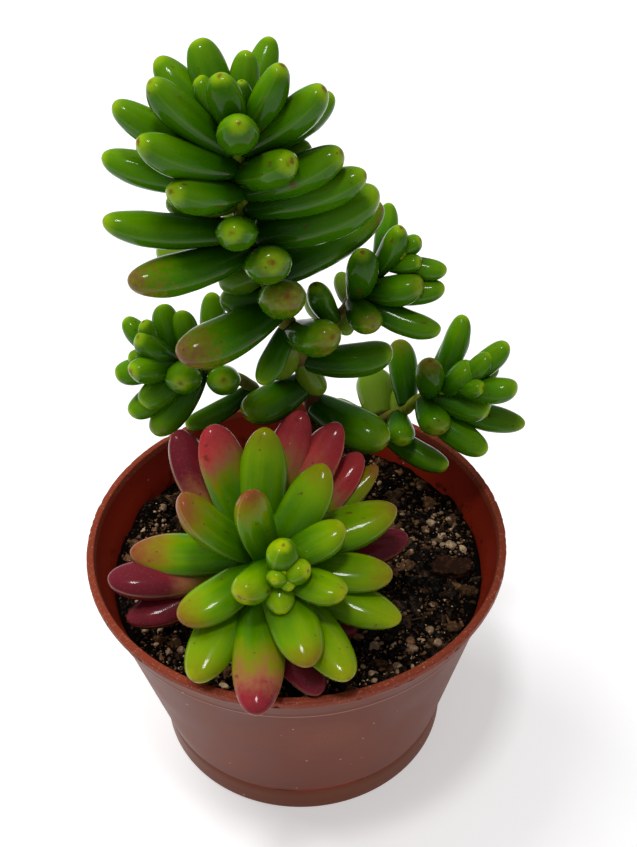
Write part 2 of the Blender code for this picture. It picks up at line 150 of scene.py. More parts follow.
def set_inputs(node, **values):
    """Set a node's inputs by name; an underscore stands for a space."""
    for label, value in values.items():
        node.inputs[label.replace("_", " ")].default_value = value


def add_softbox(name, place, size, power, mirrored):
    box = bpy.data.lights.new(name, "AREA")
    box.size = size
    box.energy = power
    lamp = add_object(name, box)
    lamp.location = place
    lamp.visible_glossy = mirrored
    lamp.rotation_euler = (AIM - Vector(place)).to_track_quat("-Z", "Y").to_euler()


def set_studio():
    add_softbox("key_softbox", **KEY)
    add_softbox("overhead_spot", **SPOT)
    world = bpy.data.worlds.new("white_room")
    world.use_nodes = True
    set_inputs(world.node_tree.nodes["Background"], Color=WHITE, Strength=SURROUND)
    bpy.context.scene.world = world
    bpy.context.scene.view_settings.view_transform = "Standard"
    bpy.ops.mesh.primitive_plane_add(size=FLOOR_SIZE)
    floor = bpy.context.object
    floor.name = "white_floor"
    paper = bpy.data.materials.new("white_paper")
    paper.use_nodes = True
    set_inputs(paper.node_tree.nodes["Principled BSDF"], Base_Color=PAPER, Roughness=0.8,
               Specular_IOR_Level=0.1, Emission_Color=WHITE, Emission_Strength=FLOOR_GLOW)
    floor.data.materials.append(paper)


set_studio()

# %% [markdown]
# ## A bench for node trees
# Both the shapes and the finishes are built from nodes. A bench holds one tree and gives each
# kind of step a short name, so that a recipe below reads like a list of steps: place a node, do
# a sum, make a soft step, lay one colour over another, read a cloud of noise.

# %% The bench
class Bench:
    """A node tree to build on, with a short name for each kind of step."""

    def __init__(self, tree):
        self.tree = tree

    def put(self, kind, feeds=None, **options):
        """Place a node, set its options and feed its inputs; returns its outputs."""
        box = self.tree.nodes.new(kind)
        for option, value in options.items():
            setattr(box, option, value)
        for key, value in (feeds or {}).items():
            if isinstance(value, bpy.types.NodeSocket):
                self.tree.links.new(value, box.inputs[key])
            else:
                box.inputs[key].default_value = value
        return box.outputs

    def calc(self, operation, *values, clamp=False):
        """One Math node on numbers or sockets."""
        feeds = dict(enumerate(values))
        return self.put("ShaderNodeMath", feeds, operation=operation, use_clamp=clamp)[0]

    def add(self, first, second, clamp=False):
        return self.calc("ADD", first, second, clamp=clamp)

    def less(self, first, second):
        return self.calc("SUBTRACT", first, second)

    def times(self, first, second, clamp=False):
        return self.calc("MULTIPLY", first, second, clamp=clamp)

    def over(self, first, second):
        return self.calc("DIVIDE", first, second)

    def fused(self, value, factor, start):
        """A value times a factor, added to a start."""
        return self.calc("MULTIPLY_ADD", value, factor, start)

    def sway(self, cloud, amount):
        """A cloud, which runs from 0 to 1, as a push to either side."""
        return self.times(self.less(cloud, 0.5), amount)

    def stray(self, value, cloud, amount):
        """A value pushed to either side by a cloud."""
        return self.fused(self.less(cloud, 0.5), amount, value)

    def ramp(self, value, low, high, to_low=0.0, to_high=1.0):
        """A soft step: below low gives to_low, above high gives to_high."""
        feeds = {"Value": value, "From Min": low, "From Max": high,
                 "To Min": to_low, "To Max": to_high}
        return self.put("ShaderNodeMapRange", feeds, interpolation_type="SMOOTHSTEP")["Result"]

    def near(self, value, place, close, far):
        """A soft stripe: 1 within a close distance of a place, 0 beyond a far one."""
        return self.ramp(self.calc("ABSOLUTE", self.less(value, place)), close, far, 1.0, 0.0)

    def blend(self, share, under, over):
        """Lay a colour over another, by a share from 0 to 1."""
        return self.put("ShaderNodeMix", {0: share, 6: under, 7: over}, data_type="RGBA")[2]

    def coats(self, colour, *layers):
        """Lay several coats over a colour, each a share and a shade."""
        for share, shade in layers:
            colour = self.blend(share, colour, shade)
        return colour

    def point(self, x=0.0, y=0.0, z=0.0):
        return self.put("ShaderNodeCombineXYZ", {0: x, 1: y, 2: z})[0]

    def parts(self, point):
        return self.put("ShaderNodeSeparateXYZ", {0: point})

    def vector(self, operation, *values):
        """One Vector Math node on vectors or sockets."""
        feeds = dict(enumerate(values))
        found = self.put("ShaderNodeVectorMath", feeds, operation=operation)
        return found["Value" if operation == "LENGTH" else "Vector"]

    def scaled(self, direction, amount):
        """A vector times a number."""
        feeds = {0: direction, "Scale": amount}
        return self.put("ShaderNodeVectorMath", feeds, operation="SCALE")["Vector"]

    def cloud(self, place, scale, detail=2.0, rough=0.5):
        """Smooth noise from 0 to 1."""
        return self.put("ShaderNodeTexNoise", {"Vector": place, "Scale": scale, "Detail": detail,
                                               "Roughness": rough})[0]

    def specks(self, place, scale, close, far, rarity):
        """Round specks in the middles of cells, in the share of the cells above the rarity."""
        cells = self.put("ShaderNodeTexVoronoi", {"Vector": place, "Scale": scale})
        pick = self.put("ShaderNodeSeparateColor", {0: cells["Color"]})[0]
        return self.times(self.ramp(cells["Distance"], close, far, 1.0, 0.0),
                          self.calc("GREATER_THAN", pick, rarity))

    def give(self, **results):
        """Join the results to the group's outputs, and hand the tree over."""
        end = self.tree.nodes.new("NodeGroupOutput")
        for label, socket in results.items():
            self.tree.links.new(socket, end.inputs[label])
        return self.tree


def paint(red, green, blue):
    """A colour from 0 to 255 steps, as a screen shows it, turned into light values."""
    def light(step):
        share = step / 255.0
        return share / 12.92 if share <= 0.04045 else ((share + 0.055) / 1.055) ** 2.4
    return (light(red), light(green), light(blue), 1.0)


# %% [markdown]
# A node group has named inputs and outputs, so one recipe can serve several pieces. A starting
# value shows what kind an input is, and an input that has none names its kind. A shader group
# gives a colour, a roughness and a height. A piece made with nodes is kept as a plain mesh,
# because only plain meshes travel with the finished model.

# %% Make a group, store numbers, show a piece
KINDS = {float: "Float", int: "Int", tuple: "Color"}


def new_group(name, kind, gives, takes):
    """A node group; returns a bench for its tree, and its inputs."""
    tree = bpy.data.node_groups.new(name, kind)
    for label, value in takes.items():
        sort = value if isinstance(value, str) else KINDS[type(value)]
        socket = tree.interface.new_socket(label.replace("_", " "), in_out="INPUT",
                                           socket_type="NodeSocket" + sort)
        if not isinstance(value, str):
            socket.default_value = value
    for label, sort in gives.items():
        tree.interface.new_socket(label, in_out="OUTPUT", socket_type="NodeSocket" + sort)
    return Bench(tree), tree.nodes.new("NodeGroupInput").outputs


def shader_group(name, **takes):
    gives = {"Color": "Color", "Roughness": "Float", "Height": "Float"}
    return new_group(name, "ShaderNodeTree", gives, dict(Place="Vector", **takes))


def store(mesh, name, values, sort="FLOAT"):
    """Keep one number or vector for each point of a mesh, under a name."""
    layer = mesh.attributes.new(name, sort, "POINT")
    flat = values if sort == "FLOAT" else [part for value in values for part in value]
    layer.data.foreach_set("value" if sort == "FLOAT" else "vector", flat)


def show(name, mesh, slot, *solids):
    """Add a finished piece: it rides on the plant's one body and may stand for solids."""
    mesh.name = name
    piece = add_object(name, mesh)
    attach(piece, "root")
    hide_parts(*solids)
    print(f"{name}: {len(mesh.polygons)} faces")


# %% [markdown]
# ## Worn plastic
# The pot is thin brown-red plastic. Handling has dulled its outside to a mauve brown, while its
# lip and its inside keep the warm red. The recipe sorts the surface into zones by height and
# radius, and adds dust, turning lines and scratches.

# %% The plastic's shader group
# how many lumps of each noise lie along a metre, or along a metre in x, y and z
PLASTIC_CLOUDS = 45.0
PLASTIC_GRAIN = 2600.0
TURNING_LINES = (40.0, 40.0, 3200.0)
SCRATCHES = (900.0, 700.0, 90.0)
DUST_SPECKS = 420.0
SMEARS = 260.0
RED_SHADOW = paint(132, 36, 22)
PEAT_SMEAR = paint(34, 20, 14)
BLOOM = paint(150, 94, 74)
TURNING_LINE = paint(108, 60, 46)
BAND_LIGHT = paint(214, 176, 166)
WORN_EDGE = paint(226, 172, 150)
SCRATCH = paint(206, 176, 168)
DUST = paint(226, 208, 198)


def plastic_group():
    do, takes = shader_group("Worn plastic", Outside=paint(106, 50, 34), Warm=paint(134, 58, 38),
                             Inside=paint(160, 46, 24), Foot=paint(122, 70, 50))
    place = takes["Place"]
    x, y, height = do.parts(place)
    radius = do.vector("LENGTH", do.point(x, y))
    slope = (wall_outside(POT_HEIGHT) - wall_outside(GROOVE_HEIGHT)) / (POT_HEIGHT - GROOVE_HEIGHT)
    wall = do.fused(height, slope, (wall_outside(0.0) - FOOT_STEP) * MM)
    inside = do.calc("LESS_THAN", radius, wall)
    lip = do.ramp(height, (POT_HEIGHT - 1.7) * MM, (POT_HEIGHT - 1.3) * MM)
    depth = do.ramp(height, SOIL_LEVEL * MM, (POT_HEIGHT - 1.0) * MM)
    step = do.near(height, (POT_HEIGHT - BAND_HEIGHT + 0.1) * MM, 0.1 * MM, 0.35 * MM)
    groove = do.near(height, GROOVE_HEIGHT * MM, 0.2 * MM, 0.9 * MM)
    low = do.ramp(height, (GROOVE_HEIGHT - 0.8) * MM, GROOVE_HEIGHT * MM, 1.0, 0.0)

    cloud = do.cloud(place, PLASTIC_CLOUDS, 5.0)
    rings = do.cloud(do.vector("MULTIPLY", place, TURNING_LINES), 1.0)
    grain = do.cloud(place, PLASTIC_GRAIN, 3.0)
    scratch = do.cloud(do.vector("MULTIPLY", place, SCRATCHES), 1.0)
    scratched = do.times(do.near(scratch, 0.5, 0.0, 0.006), do.ramp(cloud, 0.60, 0.66))
    dusty = do.specks(place, DUST_SPECKS, 0.06, 0.12, 0.88)
    smeared = do.times(do.ramp(do.cloud(place, SMEARS, 8.0), 0.55, 0.68),
                       do.ramp(height, 45.0 * MM, 49.0 * MM, 1.0, 0.0))
    worn = do.times(lip, do.ramp(grain, 0.58, 0.70, 0.0, 0.28))

    red = do.coats(takes["Inside"], (depth, RED_SHADOW), (smeared, PEAT_SMEAR))
    colour = do.coats(
        takes["Outside"], (do.times(low, 0.7), takes["Foot"]),
        (do.ramp(cloud, 0.40, 0.75, 0.0, 0.35), BLOOM),
        (do.ramp(rings, 0.45, 0.75, 0.0, 0.25), TURNING_LINE),
        (do.times(groove, 0.65), takes["Warm"]), (do.times(step, 0.45), BAND_LIGHT),
        (lip, takes["Warm"]), (do.times(inside, do.less(1.0, lip)), red), (worn, WORN_EDGE),
        (do.times(scratched, 0.12), SCRATCH), (do.times(dusty, 0.55), DUST))
    rough = do.add(do.ramp(cloud, 0.3, 0.7, 0.36, 0.52), do.times(dusty, 0.3))
    bumps = do.less(do.add(do.times(rings, 0.5), do.times(grain, 0.35)), do.times(scratched, 0.5))
    return do.give(Color=colour, Roughness=rough, Height=bumps)


# %% [markdown]
# A finish joins a group to a Principled shader. What is the same all over, such as how much
# light sinks into a leaf, is set on the shader itself, and what varies comes from the group.

# %% Turn a group into a finish
def new_finish(name, group, reads=(), mix=None, *, bump_depth, bump_strength, **constants):
    """A material: the group's colour, roughness and height feed one Principled shader."""
    finish = bpy.data.materials.new(name)
    finish.use_nodes = True
    do = Bench(finish.node_tree)
    feeds = {"Place": do.put("ShaderNodeTexCoord")["Object"]}
    for label in reads:
        number = do.put("ShaderNodeAttribute", attribute_name=label.lower())
        feeds[label] = number["Vector" if label == "Around" else "Fac"]
    recipe = do.put("ShaderNodeGroup", node_tree=group)
    node = recipe[0].node
    set_inputs(node, **(mix or {}))
    for label, socket in feeds.items():
        do.tree.links.new(socket, node.inputs[label])
    bump = do.put("ShaderNodeBump", {"Height": recipe["Height"], "Distance": bump_depth,
                                     "Strength": bump_strength})
    shader = do.tree.nodes["Principled BSDF"]
    set_inputs(shader, **constants)
    for socket, label in ((recipe["Color"], "Base Color"), (recipe["Roughness"], "Roughness"),
                          (bump["Normal"], "Normal")):
        do.tree.links.new(socket, shader.inputs[label])
    return finish


pot_finish = new_finish("pot_plastic_worn", plastic_group(), bump_depth=0.06 * MM,
                        bump_strength=0.35, Specular_IOR_Level=0.1,
                        Subsurface_Weight=0.05, Subsurface_Scale=1.0 * MM)

# %% [markdown]
# ## The pot
# A turned shape is a profile spun round an axis. The profile starts on the floor inside, climbs
# the wall, rolls over the lip and comes down the outside past the band's step and the groove.
# Its long runs are cut into short steps first, so that small dents have points to move.

# %% Spin a profile
def lathe(profile, steps, longest=2.0):
    """A closed turned body from (radius, height) points, in millimetres."""
    line = [profile[0]]
    for start, end in zip(profile, profile[1:]):
        cuts = max(1, math.ceil(math.dist(start, end) / longest))
        line += [(start[0] + (end[0] - start[0]) * k / cuts,
                  start[1] + (end[1] - start[1]) * k / cuts) for k in range(1, cuts + 1)]
    shape = bmesh.new()
    rings = []
    for radius, height in line:
        if radius == 0.0:
            rings.append([shape.verts.new((0.0, 0.0, height * MM))] * steps)
            continue
        rings.append([shape.verts.new((radius * MM * math.cos(math.tau * k / steps),
                                       radius * MM * math.sin(math.tau * k / steps),
                                       height * MM)) for k in range(steps)])
    for low, high in zip(rings, rings[1:]):
        for k in range(steps):
            corners = [low[k], low[(k + 1) % steps], high[(k + 1) % steps], high[k]]
            shape.faces.new(list(dict.fromkeys(corners)))
    bmesh.ops.recalc_face_normals(shape, faces=shape.faces)
    return shape


def arc(centre, radius, start, end, count):
    """Points on a round stretch of a profile; angles in degrees."""
    angles = [math.radians(start + (end - start) * k / count) for k in range(count + 1)]
    return [(centre[0] + radius * math.cos(angle), centre[1] + radius * math.sin(angle))
            for angle in angles]


def to_mesh(shape, name, smooth=True):
    mesh = bpy.data.meshes.new(name)
    shape.to_mesh(mesh)
    shape.free()
    mesh.polygons.foreach_set("use_smooth", [smooth] * len(mesh.polygons))
    return mesh


# %% [markdown]
# The lip has been knocked and scraped, so a few dozen shallow dents are pressed into its edge at
# seeded places. Six drainage holes are cut through the floor with one Boolean.

# %% Make the pot
POT_STEPS = 420
LIP_ROUND = 0.55
DENTS = 70
DENT_SEED = 5
# a dent's width and depth are drawn between two ends
DENT_WIDTH = (0.4, 1.1)
DENT_DEPTH = (0.05, 0.22)
# depth and size of the noise in the wall and on the lip
WALL_WANDER = (0.10, 17.0)
LIP_SCRAPES = (0.05, 1.4)
DRAIN_HOLES = 6
DRAIN_RADIUS = 2.6
DRAIN_RING = 20.0
DRAIN_TURN = 13.0
DRAIN_SIDES = 32
SHARP_EDGE = 50.0


def pot_profile():
    top = POT_HEIGHT
    band = top - BAND_HEIGHT
    edge = POT_TOP_RADIUS - LIP_ROUND
    step = wall_outside(band) + BAND_STEP
    groove = POT_FOOT_RADIUS + FOOT_STEP - GROOVE_DEPTH
    return ([(0.0, POT_FLOOR), (POT_FOOT_RADIUS - POT_WALL - POT_CORNER, POT_FLOOR)]
            + [(POT_FOOT_RADIUS - POT_WALL, POT_FLOOR + POT_CORNER),
               (wall_outside(band) - POT_WALL, band),
               (POT_TOP_RADIUS - LIP_DEPTH, top - LIP_HEIGHT), (POT_TOP_RADIUS - 1.7, top - 0.5)]
            + arc((POT_TOP_RADIUS - 1.25, top - 0.4), 0.4, 180, 90, 4)
            + arc((edge, top - LIP_ROUND), LIP_ROUND, 90, 0, 6)
            + arc((edge, top - LIP_HEIGHT + 0.2), LIP_ROUND, 0, -50, 4)
            + [(POT_TOP_RADIUS - 0.6, top - LIP_HEIGHT - 0.4), (step, band + 0.5)]
            + arc((step - 0.25, band + 0.25), 0.25, 0, -80, 4)
            + [(wall_outside(band), band - 0.15), (POT_FOOT_RADIUS + 0.45, GROOVE_HEIGHT + 0.7)]
            + [(groove, GROOVE_HEIGHT + 0.15), (groove, GROOVE_HEIGHT - 0.15),
               (POT_FOOT_RADIUS + 0.1, GROOVE_HEIGHT - 0.8)]
            + arc((POT_FOOT_RADIUS - 0.6, 0.6), 0.6, 0, -90, 5) + [(0.0, 0.0)])


def press_dents(shape):
    """Push small seeded dents into the lip, and let the thin wall wander a little."""
    rng = random.Random(DENT_SEED)
    dents = [(rng.uniform(0, math.tau), rng.uniform(*DENT_WIDTH), rng.uniform(*DENT_DEPTH))
             for _ in range(DENTS)]
    for vert in shape.verts:
        spot = vert.co / MM
        x, y, z = spot
        reach = math.hypot(x, y)
        if z < POT_FLOOR + 0.5 or reach < DRAIN_RING:
            continue
        angle = math.atan2(y, x) % math.tau
        push = WALL_WANDER[0] * noise.noise(spot / WALL_WANDER[1])
        if z > POT_HEIGHT - LIP_HEIGHT and reach > POT_TOP_RADIUS - 1.0:
            for place, width, depth in dents:
                gap = abs((angle - place + math.pi) % math.tau - math.pi) * reach
                if gap < width:
                    push -= depth * (1.0 - (gap / width) ** 2) ** 2
            push += LIP_SCRAPES[0] * noise.noise(spot / LIP_SCRAPES[1])
        vert.co.x *= 1.0 + push / reach
        vert.co.y *= 1.0 + push / reach


def make_pot():
    shape = lathe(pot_profile(), POT_STEPS)
    press_dents(shape)
    pot = add_object("pot_blank", to_mesh(shape, "pot_shell"))
    holes = bmesh.new()
    for k in range(DRAIN_HOLES):
        turn = math.tau * k / DRAIN_HOLES + math.radians(DRAIN_TURN)
        spot = Vector((math.cos(turn), math.sin(turn), 0.0)) * DRAIN_RING * MM
        bmesh.ops.create_cone(holes, cap_ends=True, segments=DRAIN_SIDES,
                              radius1=DRAIN_RADIUS * MM, radius2=DRAIN_RADIUS * MM,
                              depth=4.0 * POT_FLOOR * MM, matrix=Matrix.Translation(spot))
    drill = add_object("drill", to_mesh(holes, "drill", smooth=False))
    cut = pot.modifiers.new("drain", "BOOLEAN")
    cut.operation = "DIFFERENCE"
    cut.object = drill
    graph = bpy.context.evaluated_depsgraph_get()
    drained = bpy.data.meshes.new_from_object(pot.evaluated_get(graph))
    bpy.data.objects.remove(pot)
    bpy.data.objects.remove(drill)
    drained.materials.clear()
    drained.materials.append(pot_finish)
    drained.set_sharp_from_angle(angle=math.radians(SHARP_EDGE))
    return drained


show("pot_shell", make_pot(), "pot_plastic", "pot")

# %% [markdown]
# ## Peat and stones
# Potting peat is nearly black when moist, with brown crumbs in it. One group makes both: a dark
# and a light colour, mixed by a coarse cloud and by a number that each loose piece carries.

# %% The shader group and the finishes for peat and stones
DIRT = paint(13, 10, 8)


def earth_group():
    do, takes = shader_group("Earth", Grain=0.5, Dark=paint(8, 7, 6), Light=paint(70, 50, 36),
                             Share=1.0, Mottle=900.0, Dirt=0.3, Gloss=0.5, Rarity=1.0)
    cloud = do.cloud(takes["Place"], takes["Mottle"], 6.0, 0.65)
    fine = do.cloud(takes["Place"], 3800.0, 4.0)
    rarely = do.calc("POWER", takes["Grain"], takes["Rarity"])
    share = do.add(do.times(rarely, takes["Share"]), do.less(do.times(cloud, 0.9), 0.45),
                   clamp=True)
    dirt = do.times(do.ramp(cloud, 0.48, 0.62, 1.0, 0.0), takes["Dirt"])
    colour = do.coats(takes["Dark"], (share, takes["Light"]), (dirt, DIRT))
    rough = do.add(takes["Gloss"], do.sway(fine, 0.5), clamp=True)
    return do.give(Color=colour, Roughness=rough, Height=do.add(cloud, do.times(fine, 0.4)))


earth = earth_group()


def earth_finish(name, shine, **mix):
    return new_finish(name, earth, ("Grain",), mix, bump_depth=0.25 * MM, bump_strength=0.8,
                      Specular_IOR_Level=shine)


peat_finish = earth_finish("peat_bed", 0.04, Light=paint(36, 27, 20), Share=0.3, Mottle=500.0,
                           Dirt=0.6, Gloss=0.9)
crumb_finish = earth_finish("peat_crumbs", 0.12, Light=paint(158, 114, 76), Dirt=0.5, Rarity=4.0)
stone_finish = earth_finish("grit_stone", 0.4, Dark=paint(116, 86, 60),
                            Light=paint(240, 204, 160), Share=0.9, Gloss=0.4)
sand_finish = earth_finish("sand", 0.2, Dark=paint(150, 112, 74), Light=paint(226, 196, 152),
                           Dirt=0.1)
fibre_finish = earth_finish("fibre", 0.2, Dark=paint(50, 34, 22), Light=paint(128, 94, 60),
                            Mottle=500.0, Gloss=0.8)

# %% [markdown]
# The bed of soil is the same turned body as its solid, but with thousands of points, and its top
# is raised by layers of noise: broad lumps as in the solid, and finer ones on top of them. A few
# clods stand higher, where the photograph shows them against the wall.

# %% Make the soil's bed
LUMP_SIZE = 5.0
# each layer of lumps: its rise, and how many times finer it is than the lump size
LUMP_LAYERS = [(0.9, 1.0), (0.45, 2.3), (0.45, 5.0), (0.3, 11.0)]
# each clod: its place, its width and its rise
CLODS = [(-33.0, 18.0, 3.4, 2.6), (-30.5, 20.5, 2.4, 1.5), (35.0, 17.0, 2.6, 1.2),
         (37.0, 5.0, 2.2, 1.0), (20.0, 27.0, 3.0, 0.9), (22.0, -26.0, 3.5, 0.8)]
BED_GAP = 0.15
BED_LIFT = 0.3
BED_CORNER = 3.0
BED_STEPS = 260
BED_CELL = 0.5


def soil_height(x, y):
    """Height of the soil's top: broad lumps, crumbs, and a few clods."""
    spot = Vector((x, y, 0.0)) / LUMP_SIZE
    height = SOIL_LEVEL + sum(rise * noise.noise(spot * finer) for rise, finer in LUMP_LAYERS)
    for clod_x, clod_y, width, rise in CLODS:
        near = math.hypot(x - clod_x, y - clod_y) / width
        height += rise * math.exp(-near * near)
    return height


def make_soil_bed():
    low = POT_FLOOR + BED_LIFT
    profile = [(0.0, SOIL_LEVEL), (wall_inside(SOIL_LEVEL) - BED_GAP, SOIL_LEVEL),
               (wall_inside(low + BED_CORNER) - BED_GAP, low + BED_CORNER),
               (POT_FOOT_RADIUS - POT_WALL - BED_CORNER, low), (0.0, low)]
    shape = lathe(profile, BED_STEPS, longest=BED_CELL)
    for vert in shape.verts:
        x, y, z = vert.co / MM
        if z > SOIL_LEVEL - 0.2:
            vert.co.z = soil_height(x, y) * MM
    mesh = to_mesh(shape, "soil_bed")
    mesh.materials.append(peat_finish)
    return mesh


show("soil_bed", make_soil_bed(), "peat", "soil")

# %% [markdown]
# ## A bench for shapes
# A tree that makes a shape needs a few more steps: the place of a point, its numbers, copies on
# points, and a skin pushed in and out by noise. It takes a mesh and a finish and gives a mesh.

# %% More steps for shapes
class ShapeBench(Bench):
    """A bench for a tree that makes a mesh."""

    def here(self):
        return self.put("GeometryNodeInputPosition")[0]

    def keep(self, shape, name, value, sort="FLOAT"):
        """Keep a number or a vector on each point, under a name."""
        return self.put("GeometryNodeStoreNamedAttribute",
                        {"Geometry": shape, "Name": name, "Value": value}, data_type=sort)[0]

    def kept(self, name, sort="FLOAT"):
        return self.put("GeometryNodeInputNamedAttribute", {"Name": name},
                        data_type=sort)["Attribute"]

    def plant(self, points, thing, **feeds):
        """Put a copy of a thing on each point, and make the copies real."""
        feeds = {"Points": points, "Instance": thing, **feeds}
        placed = self.put("GeometryNodeInstanceOnPoints", feeds)[0]
        return self.put("GeometryNodeRealizeInstances", {"Geometry": placed})[0]

    def roughen(self, shape, probe, scale, detail, depth):
        """Push the skin in and out along its normal by noise, read at a probe."""
        push = self.sway(self.cloud(probe, scale, detail), depth)
        offset = self.scaled(self.put("GeometryNodeInputNormal")[0], push)
        return self.put("GeometryNodeSetPosition", {"Geometry": shape, "Offset": offset})[0]

    def dress(self, shape, finish, smooth=True):
        """Set the shading and the finish, and hand the tree over."""
        shaded = self.put("GeometryNodeSetShadeSmooth", {0: shape, "Shade Smooth": smooth})[0]
        return self.give(Geometry=self.put("GeometryNodeSetMaterial",
                                           {"Geometry": shaded, "Material": finish})[0])


def shape_tree(name, **takes):
    bench, inputs = new_group(name, "GeometryNodeTree", {"Geometry": "Geometry"},
                              dict(Geometry="Geometry", **takes, Finish="Material"))
    return ShapeBench(bench.tree), inputs


def grow(name, mesh, tree, **values):
    """Run a shape's tree on a mesh and return what it makes as a plain mesh."""
    thing = add_object(name, mesh)
    modifier = thing.modifiers.new(tree.name, "NODES")
    modifier.node_group = tree
    for socket in tree.interface.items_tree:
        if socket.in_out == "INPUT" and socket.name.lower() in values:
            modifier[socket.identifier] = values[socket.name.lower()]
    graph = bpy.context.evaluated_depsgraph_get()
    grown = bpy.data.meshes.new_from_object(thing.evaluated_get(graph),
                                            preserve_all_data_layers=True, depsgraph=graph)
    thing.modifiers.clear()
    bpy.data.objects.remove(thing)
    return grown


# %% [markdown]
# ## Loose pieces on the soil
# Crumbs, stones, sand and fibres differ only in size, number and finish, so one Geometry Nodes
# tree scatters them all: points on a surface, a rough ball at each, turned and stretched by
# seeded draws, sunk in a little, and roughened by noise read in each ball's own space.

# %% The scatter tree
FLATTEST = (0.65, 0.6, 0.4)
FULLEST = (1.3, 1.0, 0.85)
LEAN = (0.5, 0.35)
LUMPS_PER_BALL = 1.3
BALLS_APART = 90.0


def scatter_tree():
    do, takes = shape_tree("Scatter", Density=1e5, Smallest=0.3 * MM, Largest=1.0 * MM, Bias=2.0,
                           Stretch=1.0, Faces=1, Rough=0.5, Sink=0.2, Seed=1)
    density = do.times(takes["Density"], do.kept("patch"))
    dots = do.put("GeometryNodeDistributePointsOnFaces",
                  {"Mesh": takes["Geometry"], "Seed": takes["Seed"], "Density": density})

    def draw(sort, low, high, salt):
        """A seeded random number or vector for each point; the salt keeps the draws apart."""
        first, output = (0, 0) if sort == "FLOAT_VECTOR" else (2, 1)
        return do.put("FunctionNodeRandomValue",
                      {first: low, first + 1: high, "Seed": do.add(takes["Seed"], salt)},
                      data_type=sort)[output]

    share = do.calc("POWER", draw("FLOAT", 0.0, 1.0, 11.0), takes["Bias"])
    spread = do.less(takes["Largest"], takes["Smallest"])
    size = do.add(takes["Smallest"], do.times(share, spread))
    sunk = do.point(z=do.times(size, do.times(takes["Sink"], -1.0)))
    spots = do.put("GeometryNodeSetPosition", {"Geometry": dots["Points"], "Offset": sunk})[0]
    here = do.here()
    spots = do.keep(spots, "grain", draw("FLOAT", 0.0, 1.0, 12.0))
    spots = do.keep(spots, "size", size)
    spots = do.keep(spots, "centre", here, "FLOAT_VECTOR")

    kept_size = do.kept("size")
    stretch = do.vector("MULTIPLY", draw("FLOAT_VECTOR", FLATTEST, FULLEST, 13.0),
                        do.point(takes["Stretch"], 1.0, 1.0))
    turn = draw("FLOAT_VECTOR", (-LEAN[0], -LEAN[1], 0.0), (*LEAN, math.tau), 14.0)
    ball = do.put("GeometryNodeMeshIcoSphere", {"Radius": 1.0, "Subdivisions": takes["Faces"]})
    real = do.plant(spots, ball["Mesh"], Rotation=turn, Scale=do.scaled(stretch, kept_size))
    away = do.vector("SUBTRACT", here, do.kept("centre", "FLOAT_VECTOR"))
    away = do.vector("DIVIDE", away, do.point(kept_size, kept_size, kept_size))
    shift = do.times(do.kept("grain"), BALLS_APART)
    away = do.vector("ADD", away, do.point(shift, shift))
    real = do.roughen(real, away, LUMPS_PER_BALL, 2.0, do.times(takes["Rough"], kept_size))
    return do.dress(real, takes["Finish"], smooth=False)


# %% [markdown]
# The photograph shows the pale grit in drifts: by the right wall, at the front right, and at two
# places on the left. A number on the scatter surface, called patch, makes it denser there.

# %% Scatter the loose pieces
# each drift: its place, its width and how much denser it is
DRIFTS = [(38.0, 4.0, 4.5, 3.2), (36.0, 14.0, 4.0, 2.4), (33.0, 8.0, 4.0, 1.6),
          (32.0, 22.0, 4.0, 1.6), (19.0, -30.0, 6.0, 3.4), (28.0, -24.0, 4.0, 1.2),
          (-33.0, 14.0, 3.5, 1.6), (-38.0, 5.0, 2.5, 2.0), (-30.0, -22.0, 4.5, 2.0),
          (-25.0, -26.0, 3.5, 1.6)]
BETWEEN_DRIFTS = 0.35
EVEN_REACH = 39.8
DRIFT_REACH = 38.0
SKIN_CELLS = 90


def soil_skin(reach, drifts, base):
    """An open copy of the soil's top for scattering, with its patch numbers."""
    shape = bmesh.new()
    bmesh.ops.create_grid(shape, x_segments=SKIN_CELLS, y_segments=SKIN_CELLS, size=reach * MM)
    outside = [vert for vert in shape.verts if vert.co.length > reach * MM]
    bmesh.ops.delete(shape, geom=outside, context="VERTS")
    patch = []
    for vert in shape.verts:
        x, y, _ = vert.co / MM
        vert.co.z = soil_height(x, y) * MM
        patch.append(base)
        for drift_x, drift_y, width, weight in drifts:
            patch[-1] += weight * math.exp(-((x - drift_x) ** 2 + (y - drift_y) ** 2) / width ** 2)
    mesh = to_mesh(shape, "soil_skin")
    store(mesh, "patch", patch)
    return mesh


scatter = scatter_tree()
even = soil_skin(EVEN_REACH, [], 1.0)
drifted = soil_skin(DRIFT_REACH, DRIFTS, BETWEEN_DRIFTS)
SPRINKLE_VALUES = "density bias stretch faces rough sink seed".split()
# each kind: name, skin, finish, smallest and largest radius, then the values named above
SPRINKLES = [
    ("peat_clods", even, crumb_finish, 0.45, 1.9, 2.0e5, 2.2, 1.0, 2, 1.7, 0.1, 3),
    ("peat_crumbs", even, crumb_finish, 0.16, 0.62, 1.6e6, 1.8, 1.0, 1, 1.3, -0.2, 5),
    ("large_grit", drifted, stone_finish, 0.65, 1.3, 3.4e4, 1.6, 1.0, 2, 0.9, -0.3, 21),
    ("small_grit", drifted, stone_finish, 0.25, 0.7, 1.1e5, 1.6, 1.0, 2, 0.9, -0.5, 22),
    ("sand_grains", drifted, sand_finish, 0.12, 0.32, 2.6e5, 1.5, 1.0, 1, 0.6, -0.8, 8),
    ("plant_fibres", even, fibre_finish, 0.10, 0.24, 1.2e4, 1.0, 9.0, 2, 1.6, -1.2, 9),
]
for name, skin, finish, smallest, largest, *values in SPRINKLES:
    pieces = grow(name, skin, scatter, finish=finish, smallest=smallest * MM,
                  largest=largest * MM, **dict(zip(SPRINKLE_VALUES, values)))
    show(name, pieces, "peat")

